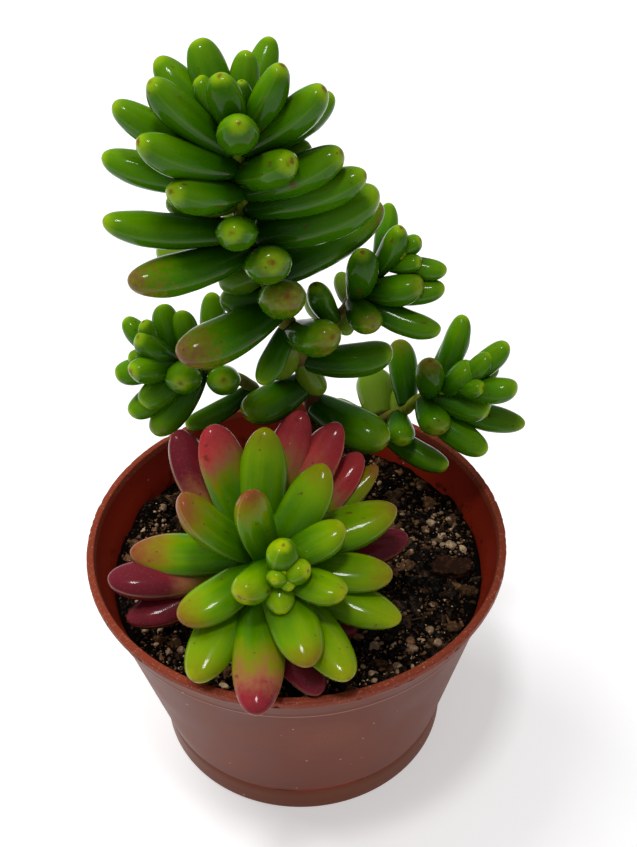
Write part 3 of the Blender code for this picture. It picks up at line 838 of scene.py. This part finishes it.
# %% [markdown]
# ## The bark flake
# One flake of bark lies on the soil at the right. It is a block whose corners are drawn in, with
# ridges along its grain and a ragged rim, all from noise on a finely cut cube.

# %% Make the bark flake
CHIP_SIZE = (8.5, 5.5, 2.0)
CHIP_PLACE = (33.5, -3.5)
CHIP_TURN = math.radians(-20.0)
CHIP_TILT = math.radians(8.0)
CHIP_LIFT = 0.9
CHIP_CUTS = 31
CHIP_BUCKLE = 0.6
CHIP_CORNERS = (0.5, 0.7)
CHIP_CORNER_POWER = 1.5
# each layer of its ragged rim: depth and fineness
CHIP_RAGS = [(0.10, 3.1), (0.05, 9.0)]
# each layer of its ridges: height, and fineness along, across and through it
CHIP_RIDGES = [(0.50, 0.35, 1.6, 1.0), (0.22, 1.1, 4.0, 3.0)]
bark_finish = earth_finish("bark_flake", 0.08, Dark=paint(56, 34, 22), Light=paint(158, 104, 70),
                           Share=0.6, Mottle=800.0, Gloss=0.75)


def make_chip():
    shape = bmesh.new()
    bmesh.ops.create_cube(shape, size=1.0)
    bmesh.ops.subdivide_edges(shape, edges=shape.edges, cuts=CHIP_CUTS, use_grid_fill=True)
    for vert in shape.verts:
        cube = vert.co.copy()
        ragged = 1.0 + sum(depth * noise.noise(cube * finer) for depth, finer in CHIP_RAGS)
        pinch = [1.0 - draw * abs(side) ** CHIP_CORNER_POWER
                 for draw, side in zip(CHIP_CORNERS, (cube.y, cube.x))]
        x = cube.x * CHIP_SIZE[0] * pinch[0] * ragged
        y = cube.y * CHIP_SIZE[1] * pinch[1] * ragged
        z = cube.z * CHIP_SIZE[2] + CHIP_BUCKLE * noise.noise(cube * 2.7)
        z += math.tan(CHIP_TILT) * x
        for height, length, width, depth in CHIP_RIDGES:
            z += height * noise.noise(Vector((x * length, y * width, cube.z * depth)))
        vert.co = Vector((CHIP_PLACE[0] + x * math.cos(CHIP_TURN) - y * math.sin(CHIP_TURN),
                          CHIP_PLACE[1] + x * math.sin(CHIP_TURN) + y * math.cos(CHIP_TURN),
                          SOIL_LEVEL + CHIP_LIFT + z)) * MM
    bmesh.ops.recalc_face_normals(shape, faces=shape.faces)
    mesh = to_mesh(shape, "bark_flake")
    mesh.materials.append(bark_finish)
    return mesh


show("bark_flake", make_chip(), "bark", "bark_chip")

# %% [markdown]
# ## Leaf colour
# A jelly bean leaf is a skin over clear green flesh. It is deep green at its foot and yellow
# green near its tip, with a dot of rust at the very end. Sun turns it red from the tip down,
# through olive and orange to wine. Light is painted into the colour too: a yellow-green glow near
# the tip, stronger on the upper face, a painted shade on the underside, a paler green on leaves
# lit from behind, and a painted reflection along the sides. The group reads how far along and
# around the leaf a point lies, and the numbers that each leaf carries.

# %% The leaf's shader group
# a paler yellow green, painted as light shining through leaves lit from behind
BACKLIT_GREEN = paint(128, 154, 40)
WINE_LIT = paint(200, 92, 88)
SCAR = paint(96, 46, 22)
SPECK = paint(84, 28, 12)
PORE = paint(150, 170, 70)
# a pale line along the leaf's sides: partly a paler margin, mostly a painted reflection of the
# white surroundings at the edge
PALE_SIDES_AND_SHEEN = paint(170, 168, 84)
RUST = paint(120, 52, 22)
# how many lumps of each noise lie along a metre
LEAF_CLOUDS = 150.0
LEAF_GRAIN = 900.0
LEAF_SKIN = 4200.0
LEAF_SCARS = 480.0
LEAF_SPECKS = 620.0
LEAF_PORES = 1900.0
# each blush: its shade, and where it starts and is full, measured from the red's front
BLUSHES = [("Olive", -0.22, 0.02), ("Salmon", -0.04, 0.16), ("Red", 0.12, 0.38)]


def leaf_group():
    do, takes = shader_group(
        "Leaf colour", Along=0.5, Around="Vector", Polar=0.5, Blush=0.0, Wine=0.0, Age=0.0,
        Pale=0.0, Seed=0.0, Deep=paint(26, 68, 0), Middle=paint(60, 118, 0),
        Tip=paint(134, 170, 10), Olive=paint(110, 112, 20), Salmon=paint(116, 88, 46),
        Red=paint(118, 70, 46), Dusty=paint(158, 96, 66), Wine_dark=paint(104, 26, 40),
        Wine_light=paint(180, 46, 52), Mottle=0.3, Glow=0.18, Blotch=0.7, Rim=0.1)
    along = takes["Along"]
    across = do.parts(takes["Around"])[1]
    shift = do.times(takes["Seed"], 0.9)
    place = do.vector("ADD", takes["Place"], do.point(shift, shift, shift))
    cloud = do.cloud(place, LEAF_CLOUDS, 3.0)
    fine = do.cloud(place, LEAF_GRAIN, 5.0)
    skin = do.cloud(place, LEAF_SKIN)
    strand = do.vector("ADD", do.scaled(takes["Around"], 1.7),
                       do.point(z=do.fused(takes["Seed"], 60.0, along)))
    strand = do.cloud(strand, 1.3)
    streak = do.sway(strand, do.ramp(takes["Polar"], 0.12, 0.4, 0.0, 0.18))
    reach = do.add(do.add(along, do.sway(cloud, 0.3)), streak)

    # flesh; it is painted stronger on the upper face, where the light from above falls
    # the yellow-green glow: partly the leaf's own yellow tip, partly painted light shining through
    # the
    glow = do.times(do.ramp(strand, 0.38, 0.76, 0.0, 0.35), do.ramp(reach, 0.25, 0.7))
    glow = do.add(glow, do.ramp(reach, 0.45, 0.95))
    glow = do.times(glow, do.ramp(across, -0.2, 1.0, 0.4, 1.6))
    end = do.stray(do.stray(takes["Polar"], cloud, 0.16), fine, 0.05)
    green = do.coats(
        takes["Deep"], (do.ramp(reach, 0.05, 0.75), takes["Middle"]),
        (do.times(glow, takes["Glow"]), takes["Tip"]),
        # painted shade: the underside is laid over with the deep green, as if light from above
        # misses it
        (do.ramp(across, -0.9, 0.3, 0.5, 0.0), takes["Deep"]),
        # the pale patch round the very end: partly the leaf's own pale tip, partly a painted
        # highlight
        (do.ramp(end, 0.07, 0.20, 0.9, 0.0), takes["Tip"]),
        # the Pale number lays on the paler green: painted light shining through leaves lit from
        # behind
        (do.times(takes["Age"], 0.35), takes["Deep"]), (do.times(takes["Pale"], 0.7), BACKLIT_GREEN))

    front = do.less(do.add(reach, takes["Blush"]), 1.0)
    front = do.stray(front, fine, takes["Mottle"])
    has_blush = do.ramp(takes["Blush"], 0.0, 0.08)
    colour = do.coats(green, *[(do.times(do.ramp(front, low, high), has_blush), takes[shade])
                               for shade, low, high in BLUSHES])
    dark = do.add(takes["Wine"], do.ramp(cloud, 0.35, 0.65, 0.2, -0.2), clamp=True)
    dark = do.add(dark, do.ramp(front, 0.12, 0.40, 0.0, 0.3), clamp=True)
    lit = do.times(do.fused(takes["Wine"], -0.9, 1.0), do.ramp(across, 0.1, 1.0, 0.0, 0.2))
    wine = do.coats(takes["Wine light"], (dark, takes["Wine dark"]), (lit, WINE_LIT))
    wine = do.blend(do.ramp(front, 0.0, 0.22), takes["Dusty"], wine)
    turned = do.times(do.ramp(takes["Wine"], 0.0, 0.2), do.ramp(front, -0.09, 0.08))

    scars = do.ramp(do.cloud(place, LEAF_SCARS, 6.0), 0.66, 0.72)
    scars = do.times(scars, takes["Blotch"])
    scars = do.times(scars, do.less(1.0, takes["Pale"]), clamp=True)
    browned = do.times(do.ramp(front, -0.15, 0.1), has_blush)
    rarity = do.fused(do.times(browned, takes["Mottle"]), -0.8, 0.9)
    specks = do.specks(place, LEAF_SPECKS, 0.08, 0.2, rarity)
    pores = do.put("ShaderNodeTexVoronoi", {"Vector": place, "Scale": LEAF_PORES})["Distance"]
    # the pale side line: partly a paler margin, mostly a painted reflection at the leaf's edge
    rim = do.times(do.near(across, 0.0, 0.0, 0.12), takes["Rim"])
    rim = do.times(rim, do.ramp(along, 0.1, 0.4))
    rust = do.ramp(do.stray(takes["Polar"], fine, 0.14), 0.0, 0.055, 0.8, 0.0)
    colour = do.coats(colour, (turned, wine), (scars, SCAR), (do.times(specks, 0.6), SPECK),
                      (do.ramp(pores, 0.12, 0.22, 0.12, 0.0), PORE), (rim, PALE_SIDES_AND_SHEEN), (rust, RUST))
    rough = do.add(do.ramp(fine, 0.3, 0.8, 0.12, 0.22), do.times(scars, 0.3))
    height = do.add(do.times(fine, 0.6), do.times(skin, 0.25))
    height = do.less(height, do.times(specks, 0.3))
    return do.give(Color=colour, Roughness=rough, Height=height)


leaf_colour = leaf_group()
LEAF_READS = ("Along", "Around", "Polar", "Blush", "Wine", "Age", "Pale", "Seed")


def leaf_finish(name, **mix):
    return new_finish(name, leaf_colour, LEAF_READS, mix, bump_depth=0.05 * MM,
                      bump_strength=0.25, Subsurface_Weight=0.12,
                      Subsurface_Scale=1.4 * MM, Subsurface_Radius=(0.9, 1.0, 0.25),
                      Coat_Weight=0.2, Coat_Roughness=0.05, IOR=1.4,
                      Specular_IOR_Level=0.1)


tall_finish = leaf_finish("tall_plant_leaf", Mottle=0.7)
rosette_finish = leaf_finish("rosette_leaf", Deep=paint(36, 84, 0), Middle=paint(88, 140, 0),
                             Tip=paint(168, 190, 4), Olive=paint(132, 122, 14),
                             Salmon=paint(138, 80, 40), Red=paint(142, 62, 42), Rim=0.3,
                             Glow=0.26, Mottle=0.15)

# %% [markdown]
# ## Stems
# Each stem is a smooth curve through a few given points. The tall plant's stem is brown
# and about four millimetres thick, and it thins and turns green as it climbs. A leaf leaves a
# small knuckle where it grows, so the girth swells a little at each one.

# %% The routes and how to read them
MAIN_ROUTE = [(7, 27, 30), (7, 27, 44), (6.3, 24.5, 58), (5.2, 21, 72), (3.6, 18.5, 84),
              (1.6, 16.5, 94), (-1, 15, 103), (-3.6, 13.5, 113), (-6, 12.5, 122),
              (-7.2, 11.5, 132), (-7.4, 10.5, 142), (-6.6, 10, 148)]
LEFT_ROUTE = [(4.5, 21.5, 66), (-3, 20, 72), (-9.3, 18, 82.2), (-15, 17, 86), (-21, 16.5, 89),
              (-26, 16, 91.5)]
UPPER_ROUTE = [(1.8, 16.6, 93), (10.2, 18, 97.7), (14.6, 20, 101.6), (18.5, 22, 106),
               (21.5, 23.5, 110), (24, 25, 113.5)]
LOWER_ROUTE = [(6, 24.5, 60), (16, 24, 63.5), (23.9, 22, 68.2), (27.4, 21, 72.1), (31.5, 19, 76),
               (35.5, 17, 79.5)]
ROSETTE_ROUTE = [(-10, -3, 30), (-10, -3, 44), (-9.8, -5, 52.5), (-8.7, -11, 60.5),
                 (-7, -17.8, 66.4), (-5, -23.8, 70.4), (-2.9, -29.8, 73.9)]


def smooth_route(points, per_span=12):
    """A smooth curve through the given points of a stem."""
    route = []
    last = len(points) - 1
    for i in range(last):
        p0, p1, p2, p3 = (Vector(points[min(max(k, 0), last)]) for k in range(i - 1, i + 3))
        for k in range(per_span):
            t = k / per_span
            route.append(0.5 * (2 * p1 + (p2 - p0) * t + (2 * p0 - 5 * p1 + 4 * p2 - p3) * t ** 2
                                + (3 * p1 - p0 - 3 * p2 + p3) * t ** 3))
    route.append(Vector(points[last]))
    return route


def route_length(route):
    return sum((b - a).length for a, b in zip(route, route[1:]))


def point_along(route, distance):
    """The point that lies a given distance up the route."""
    left = distance
    for a, b in zip(route, route[1:]):
        step = (b - a).length
        if left <= step:
            return a.lerp(b, left / step)
        left -= step
    return route[-1].copy()


# %% [markdown]
# The stem's tree turns a line of points into a curve, gives it the girth that each point carries,
# sweeps a circle along it and roughens the skin. Its finish runs from brown bark at the soil to
# yellow green near the tip.

# %% The stem's tree and finish
BARK_PALE = paint(150, 104, 60)
BARK_CRACK = paint(58, 38, 22)
# how many lumps of the bark lie along a metre in x, y and z, in its shape and in its colour
BARK_LUMPS = (700.0, 700.0, 260.0)
BARK_STREAKS = (900.0, 900.0, 220.0)
BARK_CLOUDS = 160.0


def stem_tree():
    do, takes = shape_tree("Stem", Sides=28, Rough=0.12 * MM)
    girth = do.kept("girth")
    line = do.put("GeometryNodeMeshToCurve", {"Mesh": takes["Geometry"]})[0]
    line = do.put("GeometryNodeSetCurveRadius", {0: line, "Radius": girth})[0]
    ring = do.put("GeometryNodeCurvePrimitiveCircle", {"Resolution": takes["Sides"],
                                                       "Radius": 1.0})[0]
    stem = do.put("GeometryNodeCurveToMesh", {"Curve": line, "Profile Curve": ring,
                                              "Fill Caps": True, "Scale": girth})[0]
    long = do.vector("MULTIPLY", do.here(), BARK_LUMPS)
    return do.dress(do.roughen(stem, long, 1.0, 3.0, takes["Rough"]), takes["Finish"])


def stem_group():
    do, takes = shader_group("Stem bark", Up=0.5, Old=paint(96, 58, 42),
                             Young=paint(116, 138, 14))
    long = do.vector("MULTIPLY", takes["Place"], BARK_STREAKS)
    grain = do.cloud(long, 1.0, 5.0)
    cloud = do.cloud(takes["Place"], BARK_CLOUDS, 3.0)
    reach = do.add(takes["Up"], do.sway(cloud, 0.4))
    colour = do.coats(takes["Old"], (do.ramp(cloud, 0.52, 0.7, 0.0, 0.4), BARK_PALE),
                      (do.ramp(reach, 0.35, 0.9), takes["Young"]),
                      (do.ramp(grain, 0.5, 0.75, 0.0, 0.5), BARK_CRACK))
    return do.give(Color=colour, Roughness=do.ramp(grain, 0.3, 0.8, 0.42, 0.7), Height=grain)


stems = stem_tree()
stem_finish = new_finish("stem_bark", stem_group(), ("Up",), bump_depth=0.12 * MM,
                         bump_strength=0.6, Specular_IOR_Level=0.2,
                         Subsurface_Weight=0.08, Subsurface_Scale=1.0 * MM)

# %% [markdown]
# The points follow the route in half millimetre steps. Each one's girth is worked out here:
# it thins evenly, swells at every leaf, wanders a little and rounds off at the tip.

# %% The line of points along a stem
LINE_STEP = 0.5
KNUCKLE_RISE = 0.28
KNUCKLE_WIDTH = 0.9
KNUCKLE_GIRTH = 2.2
GIRTH_WANDER = 0.04
WANDER_SIZE = 5.0
MOST_SWELL = 1.35
TIP_ROUND = 0.25


def stem_line(points, girth, stations, green_from):
    """A line of points along a stem; each carries its girth and how young the stem is there."""
    route = smooth_route(points)
    length = route_length(route)
    count = round(length / LINE_STEP)
    spots, girths, young = [], [], []
    for k in range(count + 1):
        along = length * k / count
        radius = girth[0] + (girth[1] - girth[0]) * along / length
        radius += sum(KNUCKLE_RISE * math.exp(-((along - s) / KNUCKLE_WIDTH) ** 2)
                      for s in stations) * radius / KNUCKLE_GIRTH
        radius *= 1.0 + GIRTH_WANDER * noise.noise(Vector((along / WANDER_SIZE, girth[0], 0.0)))
        end = min(1.0, (length - along) / girth[1] + TIP_ROUND)
        spots.append(point_along(route, along) * MM)
        girths.append(min(radius, girth[0] * MOST_SWELL) * math.sqrt(end) * MM)
        young.append(green_from + (1.0 - green_from) * along / length)
    mesh = bpy.data.meshes.new("stem_line")
    mesh.from_pydata(spots, [(k, k + 1) for k in range(count)], [])
    store(mesh, "girth", girths)
    store(mesh, "up", young)
    return mesh


# %% [markdown]
# ## Leaves
# A leaf is a ball drawn out along its own line: a slim neck, a full waist two thirds of the way
# up and a round tip, sagging a little under its weight. The tree below does that to a ball at
# each root point, from the numbers the point carries: its direction, length, breadth and form.

# %% The leaf tree
LEAF_WAIST = 0.62
LEAF_SAG = 0.05
LEAF_HEEL = 0.05
HEEL_START = 0.2
UNEVEN_LUMPS = 170.0
LEAVES_APART = 40.0


def leaf_tree():
    do, takes = shape_tree("Leaves", Sides=32, Rings=34, Uneven=0.35 * MM)
    here = do.here()
    roots = do.keep(takes["Geometry"], "root", here, "FLOAT_VECTOR")
    ball = do.put("GeometryNodeMeshUVSphere", {"Segments": takes["Sides"],
                                               "Rings": takes["Rings"], "Radius": 1.0})["Mesh"]
    x, y, z = do.parts(here)
    ball = do.keep(ball, "along", do.fused(z, 0.5, 0.5))
    ball = do.keep(ball, "polar", do.over(do.calc("ARCCOSINE", z), math.pi))
    ball = do.keep(ball, "around", do.vector("NORMALIZE", do.point(x, y)), "FLOAT_VECTOR")
    real = do.plant(roots, ball)

    along, length, neck, blunt = (do.kept(n) for n in ("along", "length", "neck", "blunt"))
    climb = do.calc("MINIMUM", do.over(along, LEAF_WAIST), 1.0)
    swell = do.fused(do.calc("SINE", do.times(climb, math.pi / 2)), do.less(1.0, neck), neck)
    past = do.calc("MAXIMUM", do.over(do.less(along, LEAF_WAIST), 1.0 - LEAF_WAIST), 0.0)
    tail = do.calc("MAXIMUM", do.less(1.0, do.calc("POWER", past, blunt)), 0.0)
    tail = do.calc("POWER", tail, do.over(1.0, blunt))
    heel = do.calc("MINIMUM", do.over(along, LEAF_HEEL), 1.0)
    heel = do.calc("SQRT", do.fused(heel, 1.0 - HEEL_START, HEEL_START))
    half = do.times(do.times(swell, tail), do.times(heel, do.times(do.kept("breadth"), 0.5)))
    aside, above, _ = do.parts(do.kept("around", "FLOAT_VECTOR"))
    upper = do.calc("GREATER_THAN", above, 0.0)
    depth = do.times(do.kept("depth"), do.fused(upper, do.less(do.kept("top"), 1.0), 1.0))
    hump = do.times(along, do.less(1.0, along))
    sag = do.times(hump, do.times(length, -4.0 * LEAF_SAG))
    lift = do.add(sag, do.times(above, do.times(half, depth)))
    keel = do.calc("POWER", do.less(1.0, do.calc("ABSOLUTE", above)), 3.0)
    keel = do.fused(keel, do.kept("keel"), 1.0)
    bow = do.times(hump, do.times(length, do.kept("bow")))
    bow = do.add(bow, do.times(aside, do.times(half, keel)))
    spot = do.kept("root", "FLOAT_VECTOR")
    for name, amount in (("ahead", do.times(length, along)), ("over", lift), ("side", bow)):
        spot = do.vector("ADD", spot, do.scaled(do.kept(name, "FLOAT_VECTOR"), amount))
    real = do.put("GeometryNodeSetPosition", {"Geometry": real, "Position": spot})[0]

    shift = do.times(do.kept("seed"), LEAVES_APART)
    probe = do.vector("ADD", do.scaled(here, UNEVEN_LUMPS), do.point(x=shift, z=shift))
    return do.dress(do.roughen(real, probe, 1.0, 1.0, takes["Uneven"]), takes["Finish"])


leaves = leaf_tree()

# %% [markdown]
# ## Where each leaf grows
# A row is one leaf: how far up the stem it grows, its bearing (0 right, 90 back, 180 left, 270
# front), its rise above level, its length and its breadth. They were judged leaf by leaf from
# the photograph, and the back of the tall stem is filled by a rule.

# %% The tall plant's leaves
MAIN_LEAVES = [
    # low on the bare part of the stem
    (44, 321, -5, 19.5, 10), (52, 213, -4, 16.5, 8.7), (60, 7, -68, 11, 6), (59, 356, 6, 19, 8),
    (65, 158, -62, 11.5, 6), (68.5, 304, 26, 16, 8.5), (70, 237, -33, 13.5, 5.5),
    # the old leaves that spread left, right and forward
    (76, 214, -3, 24, 9.8), (80, 283, 31, 14, 9), (80, 155, -23, 12.5, 6.5),
    (84, 30, 15, 27.8, 9.3), (86, 146, -30, 12, 6.5), (89.5, 283, 29, 14, 8.6),
    (91, 155, -12, 22, 8), (92.5, 207, 2, 26, 8.7), (95, 358, 20, 26, 10),
    (97, 191, 13, 27.5, 7.5), (98, 259, 27, 14.5, 7.4), (102, 346, 22, 25, 8),
    (104, 161, -12, 15.5, 6.5), (106, 342, 28, 22, 8), (106, 224, 24, 18, 7.6),
    (108, 172, 10, 25.5, 7.5), (108, 24, 14, 15, 6.5),
    # the crown
    (110, 313, 29, 16, 7.6), (111.5, 208, 30, 21.5, 8), (112.5, 175, 28, 24.2, 7.2),
    (113.5, 29, 17, 21.5, 7), (115, 195, 48, 21.5, 7.8), (115, 347, 39, 21, 7.6),
    (116.5, 64, 40, 20.5, 6), (117.5, 338, 59, 18, 6.8), (117.5, 70, 62, 15.3, 5.6),
    (117.5, 146, 35, 20, 7.3), (118, 125, 54, 18, 7.3), (117, 274, 40, 15, 7.3),
    (119, 241, 69, 14, 6.6), (119.5, 160, 52, 11.5, 5), (120, 314, 81, 9.5, 3.8),
]
MAIN_BACK_LEAVES = dict(first=84, last=112, count=8, bearing=(60, 112), rise=(-10, 35),
                        length=(19, 15.2), breadth=(8, 6.8))
GOLDEN_STEP = 0.618

LEFT_LEAVES = [
    (19.5, 197, -22, 16.2, 5), (27.5, 273, 30, 9, 6.8), (32.5, 218, -38, 17, 7.2),
    (30, 86, 49, 16.5, 5.4), (35, 206, -28, 16.2, 6.5), (35, 261, 14, 9, 7.4),
    (36, 215, -25, 12.5, 7), (35.5, 96, 60, 11.3, 5.5), (38, 221, 19, 12, 6),
    (37.5, 197, 48, 11.5, 6), (38.5, 102, 48, 11.9, 5.5), (39, 190, -8, 12, 6),
    (40, 150, 37, 12, 5), (41, 170, 72, 9.5, 4.6), (41, 185, 5, 7, 4.5),
]
UPPER_LEAVES = [
    (9.5, 216, 66, 12, 5.6), (14, 246, -55, 6.5, 3.6), (15, 289, 2, 10, 6.5),
    (14, 99, 4, 10, 4), (15.5, 287, 73, 15, 6.5), (16, 335, -13, 18.5, 6),
    (17.8, 339, 17, 13.2, 7.2), (17.5, 350, 6, 17, 6), (21.5, 351, 65, 13, 5.8),
    (23, 77, 19, 17, 4.6), (24.5, 334, 16, 8.8, 4.5), (26, 341, -6, 12.7, 5),
    (27, 347, 30, 7.5, 4.5), (28, 297, 10, 4.5, 3.2), (8.5, 112, -4, 11, 4.2),
]
LOWER_LEAVES = [
    (15.5, 96, 16, 13.5, 8.8), (13.5, 155, 20, 10, 3.5), (13.5, 326, -17, 19.4, 6.2),
    (19.7, 272, -5, 9, 6.2), (19.5, 74, 14, 8, 4.4), (26, 322, -20, 18.8, 7),
    (22.5, 94, 39, 15.5, 6.3), (28, 288, -16, 9.5, 7), (30.5, 337, -5, 12.8, 7.2),
    (29.5, 259, 77, 12, 6), (28.5, 47, 42, 18, 6), (33.5, 356, 46, 9, 7),
    (28.5, 349, -15, 22.5, 6.5), (31, 56, 45, 18, 5.6), (36, 6, 43, 11, 5.2),
    (36.5, 14, 36, 14.5, 5.7), (36, 343, 9, 14, 6.2), (36.5, 323, 20, 7.5, 4.4),
    (35.5, 20, 8, 11.5, 4.4),
]

# %% [markdown]
# The rosette's rows carry one or two more numbers, read from the photograph: how far the red
# has crept down from the tip and, where it has turned to wine, how dark that is.

# %% The rosette's leaves
ROSETTE_LEAVES = [
    # the old red leaves underneath
    (28, 208, -7, 29.4, 9.5, 0.72, 0.8), (30, 137, 49, 30.3, 9.5, 0.50, 0.8),
    (30, 195, 4, 30.5, 10.6, 0.58, 0.9), (30, 32, 25, 30.8, 9.5, 0.38, 0.3),
    (29, 25, 21, 32, 7.6, 0.10), (31, 3, 1, 32.4, 10.2, 0.90, 1.0),
    (36, 321, -19, 26, 8.5, 1.0, 0.9), (38, 290, -16, 32.5, 9.5, 0.55, 1.0),
    (33, 62, 40, 31, 9.5, 0.40, 0.35), (33, 45, 34, 32, 10.3, 0.40, 0.3),
    # the large green leaves
    (36, 117, 50, 27.8, 9.7, 0.32, 0.2), (37, 172, -3, 26.5, 10.6, 0.24),
    (39, 82, 48, 25.7, 9.5, 0.05), (41, 267, -13, 34.3, 9.7, 0.27, 0.7),
    (40, 242, -15, 29.5, 9.8, 0.04), (41, 300, -10, 32.6, 9.5, 0.04),
    (41, 332, -10, 30.9, 9.6, 0.03), (42, 13, 11, 28.6, 10.6, 0.06),
    (43, 172, 45, 22, 9, 0.20), (45, 214, -11, 21, 9.6, 0.09),
    (45, 351, -5, 25.3, 9.5, 0.06), (45, 42, 39, 22.2, 9.5, 0.06),
    (47, 288, -14, 24, 9.2, 0.06), (48, 138, 75, 17, 8.5, 0.16),
    # the young ones round the growing tip
    (50, 13, 23, 16, 8.3, 0.03), (50, 328, -1, 16.2, 7.7, 0.03),
    (49, 240, 11, 12.3, 7.2, 0.03), (53, 329, 77, 7.5, 6.8, 0.0),
    (53, 329, 22, 7.5, 5.5, 0.0), (52, 276, -23, 9.5, 5.4, 0.0),
    (55, 253, 19, 4.3, 4, 0.0), (55, 296, -9, 4.6, 3, 0.0),
    (54.5, 289, 37, 3.6, 2.4, 0.0),
]

# %% [markdown]
# A leaf's direction is two angles, which become three directions: ahead along the leaf, to its
# side, and over its upper face. All the numbers of a leaf ride on its root point. The youngest
# leaves, short buds, are rounder than the rest.

# %% Plant the roots
# how brown a leaf's tip is, and how pale its green, by its place in the rows; the paler green is
# painted light, shining through leaves lit from behind
MAIN_BROWNED = {7: 0.16, 14: 0.10, 10: 0.06, 8: 0.06, 12: 0.02, 5: 0.05, 0: 0.02, 1: 0.02}
MAIN_BACKLIT = {2: 0.8, 4: 0.9, 13: 0.8, 19: 0.4, 11: 0.3}
LEFT_BROWNED = {2: 0.03}
LEFT_BACKLIT = {14: 0.3}
UPPER_BROWNED = {2: 0.05, 6: 0.03}
UPPER_BACKLIT = {1: 0.8, 3: 0.9, 14: 0.9}
LOWER_BROWNED = {6: 0.06, 9: 0.05, 7: 0.03, 12: 0.03}
LOWER_BACKLIT = {0: 0.8, 1: 0.9, 4: 0.8, 18: 0.4}
# leaves on the far side of the tall stem get the painted backlit green
BACK_BACKLIT = 0.7
BUD_LENGTH = 13.0
BUD = dict(depth=0.95, top=0.95)
BLUNT_SPREAD = (-0.1, 0.2)
BOW_SPREAD = (-0.10, 0.10)
AGE_SPREAD = (0.7, 1.1)
AGE_FADE = 1.05


def between(ends, share):
    return ends[0] + (ends[1] - ends[0]) * share


def back_leaves(first, last, count, bearing, rise, length, breadth):
    """Leaves on the far side, spaced up the stem and swung to and fro across the back."""
    rows = []
    for k in range(count):
        share = k / (count - 1)
        rows.append((between((first, last), share), between(bearing, (GOLDEN_STEP * k) % 1.0),
                     between(rise, share), between(length, share), between(breadth, share)))
    return rows


def leaf_roots(points, rows, seed, form, browned, backlit):
    """A point for each leaf at its place on the stem, with all of the leaf's numbers."""
    rng = random.Random(seed)
    route = smooth_route(points)
    length = route_length(route)
    spots = []
    numbers = {}
    for k, row in enumerate(rows):
        along, bearing, rise, long, broad = row[:5]
        turn = math.radians(bearing)
        lift = math.radians(rise)
        ahead = Vector((math.cos(turn) * math.cos(lift), math.sin(turn) * math.cos(lift),
                        math.sin(lift)))
        side = Vector((-math.sin(turn), math.cos(turn), 0.0))
        spots.append(point_along(route, along) * MM)
        blush = row[5] if len(row) > 5 else browned.get(k, 0.0)
        wine = row[6] if len(row) > 6 else 0.0
        own = form | BUD if long < BUD_LENGTH else form
        drawn = dict(own, ahead=ahead, side=side, over=ahead.cross(side), length=long * MM,
                     breadth=broad * MM, blunt=form["blunt"] + rng.uniform(*BLUNT_SPREAD),
                     bow=rng.uniform(*BOW_SPREAD), blush=blush, wine=wine,
                     age=max(0.0, 1.0 - along / length * AGE_FADE) * rng.uniform(*AGE_SPREAD),
                     pale=backlit.get(k, 0.0), seed=rng.random())
        for name, value in drawn.items():
            numbers.setdefault(name, []).append(value)
    mesh = bpy.data.meshes.new("leaf_roots")
    mesh.from_pydata(spots, [], [])
    for name, values in numbers.items():
        store(mesh, name, values, "FLOAT_VECTOR" if isinstance(values[0], Vector) else "FLOAT")
    return mesh


# %% [markdown]
# Now every stem and its leaves are grown and take the place of their solid. The rosette's leaves
# are flatter on top and a little more pointed than the tall plant's.

# %% Grow the plants
MAIN_GIRTH = (2.2, 1.5)
SHOOT_GIRTH = (1.5, 1.1)
ROSETTE_GIRTH = (2.4, 1.6)
TALL = dict(depth=0.9, top=0.96, blunt=2.2, neck=0.58, keel=0.04)
OPEN = dict(depth=0.84, top=0.72, blunt=1.95, neck=0.6, keel=0.06)
main_rows = MAIN_LEAVES + back_leaves(**MAIN_BACK_LEAVES)
main_backlit = {k: BACK_BACKLIT for k in range(len(MAIN_LEAVES), len(main_rows))} | MAIN_BACKLIT
# each plant: name, route, girth, rows, seed, browned tips, the paler green painted on leaves lit
# from behind, how green its foot is
PLANTS = [
    ("main_stem", MAIN_ROUTE, MAIN_GIRTH, main_rows, 1, MAIN_BROWNED, main_backlit, 0.0),
    ("left_shoot", LEFT_ROUTE, SHOOT_GIRTH, LEFT_LEAVES, 2, LEFT_BROWNED, LEFT_BACKLIT, 0.15),
    ("upper_right_shoot", UPPER_ROUTE, SHOOT_GIRTH, UPPER_LEAVES, 3, UPPER_BROWNED,
     UPPER_BACKLIT, 0.2),
    ("lower_right_shoot", LOWER_ROUTE, SHOOT_GIRTH, LOWER_LEAVES, 4, LOWER_BROWNED,
     LOWER_BACKLIT, 0.15),
    ("front_rosette", ROSETTE_ROUTE, ROSETTE_GIRTH, ROSETTE_LEAVES, 5, {}, {}, 0.7),
]
for name, route, girth, rows, seed, browned, backlit, green_from in PLANTS:
    form, finish, slot = TALL, tall_finish, "leaf_green"
    if name == "front_rosette":
        form, finish, slot = OPEN, rosette_finish, "rosette_green"
    line = stem_line(route, girth, [row[0] for row in rows], green_from)
    show(name + "_wood", grow(name, line, stems, finish=stem_finish), slot, name)
    roots = leaf_roots(route, rows, seed, form, browned, backlit)
    show(name + "_leaves", grow(name, roots, leaves, finish=finish), slot, name)
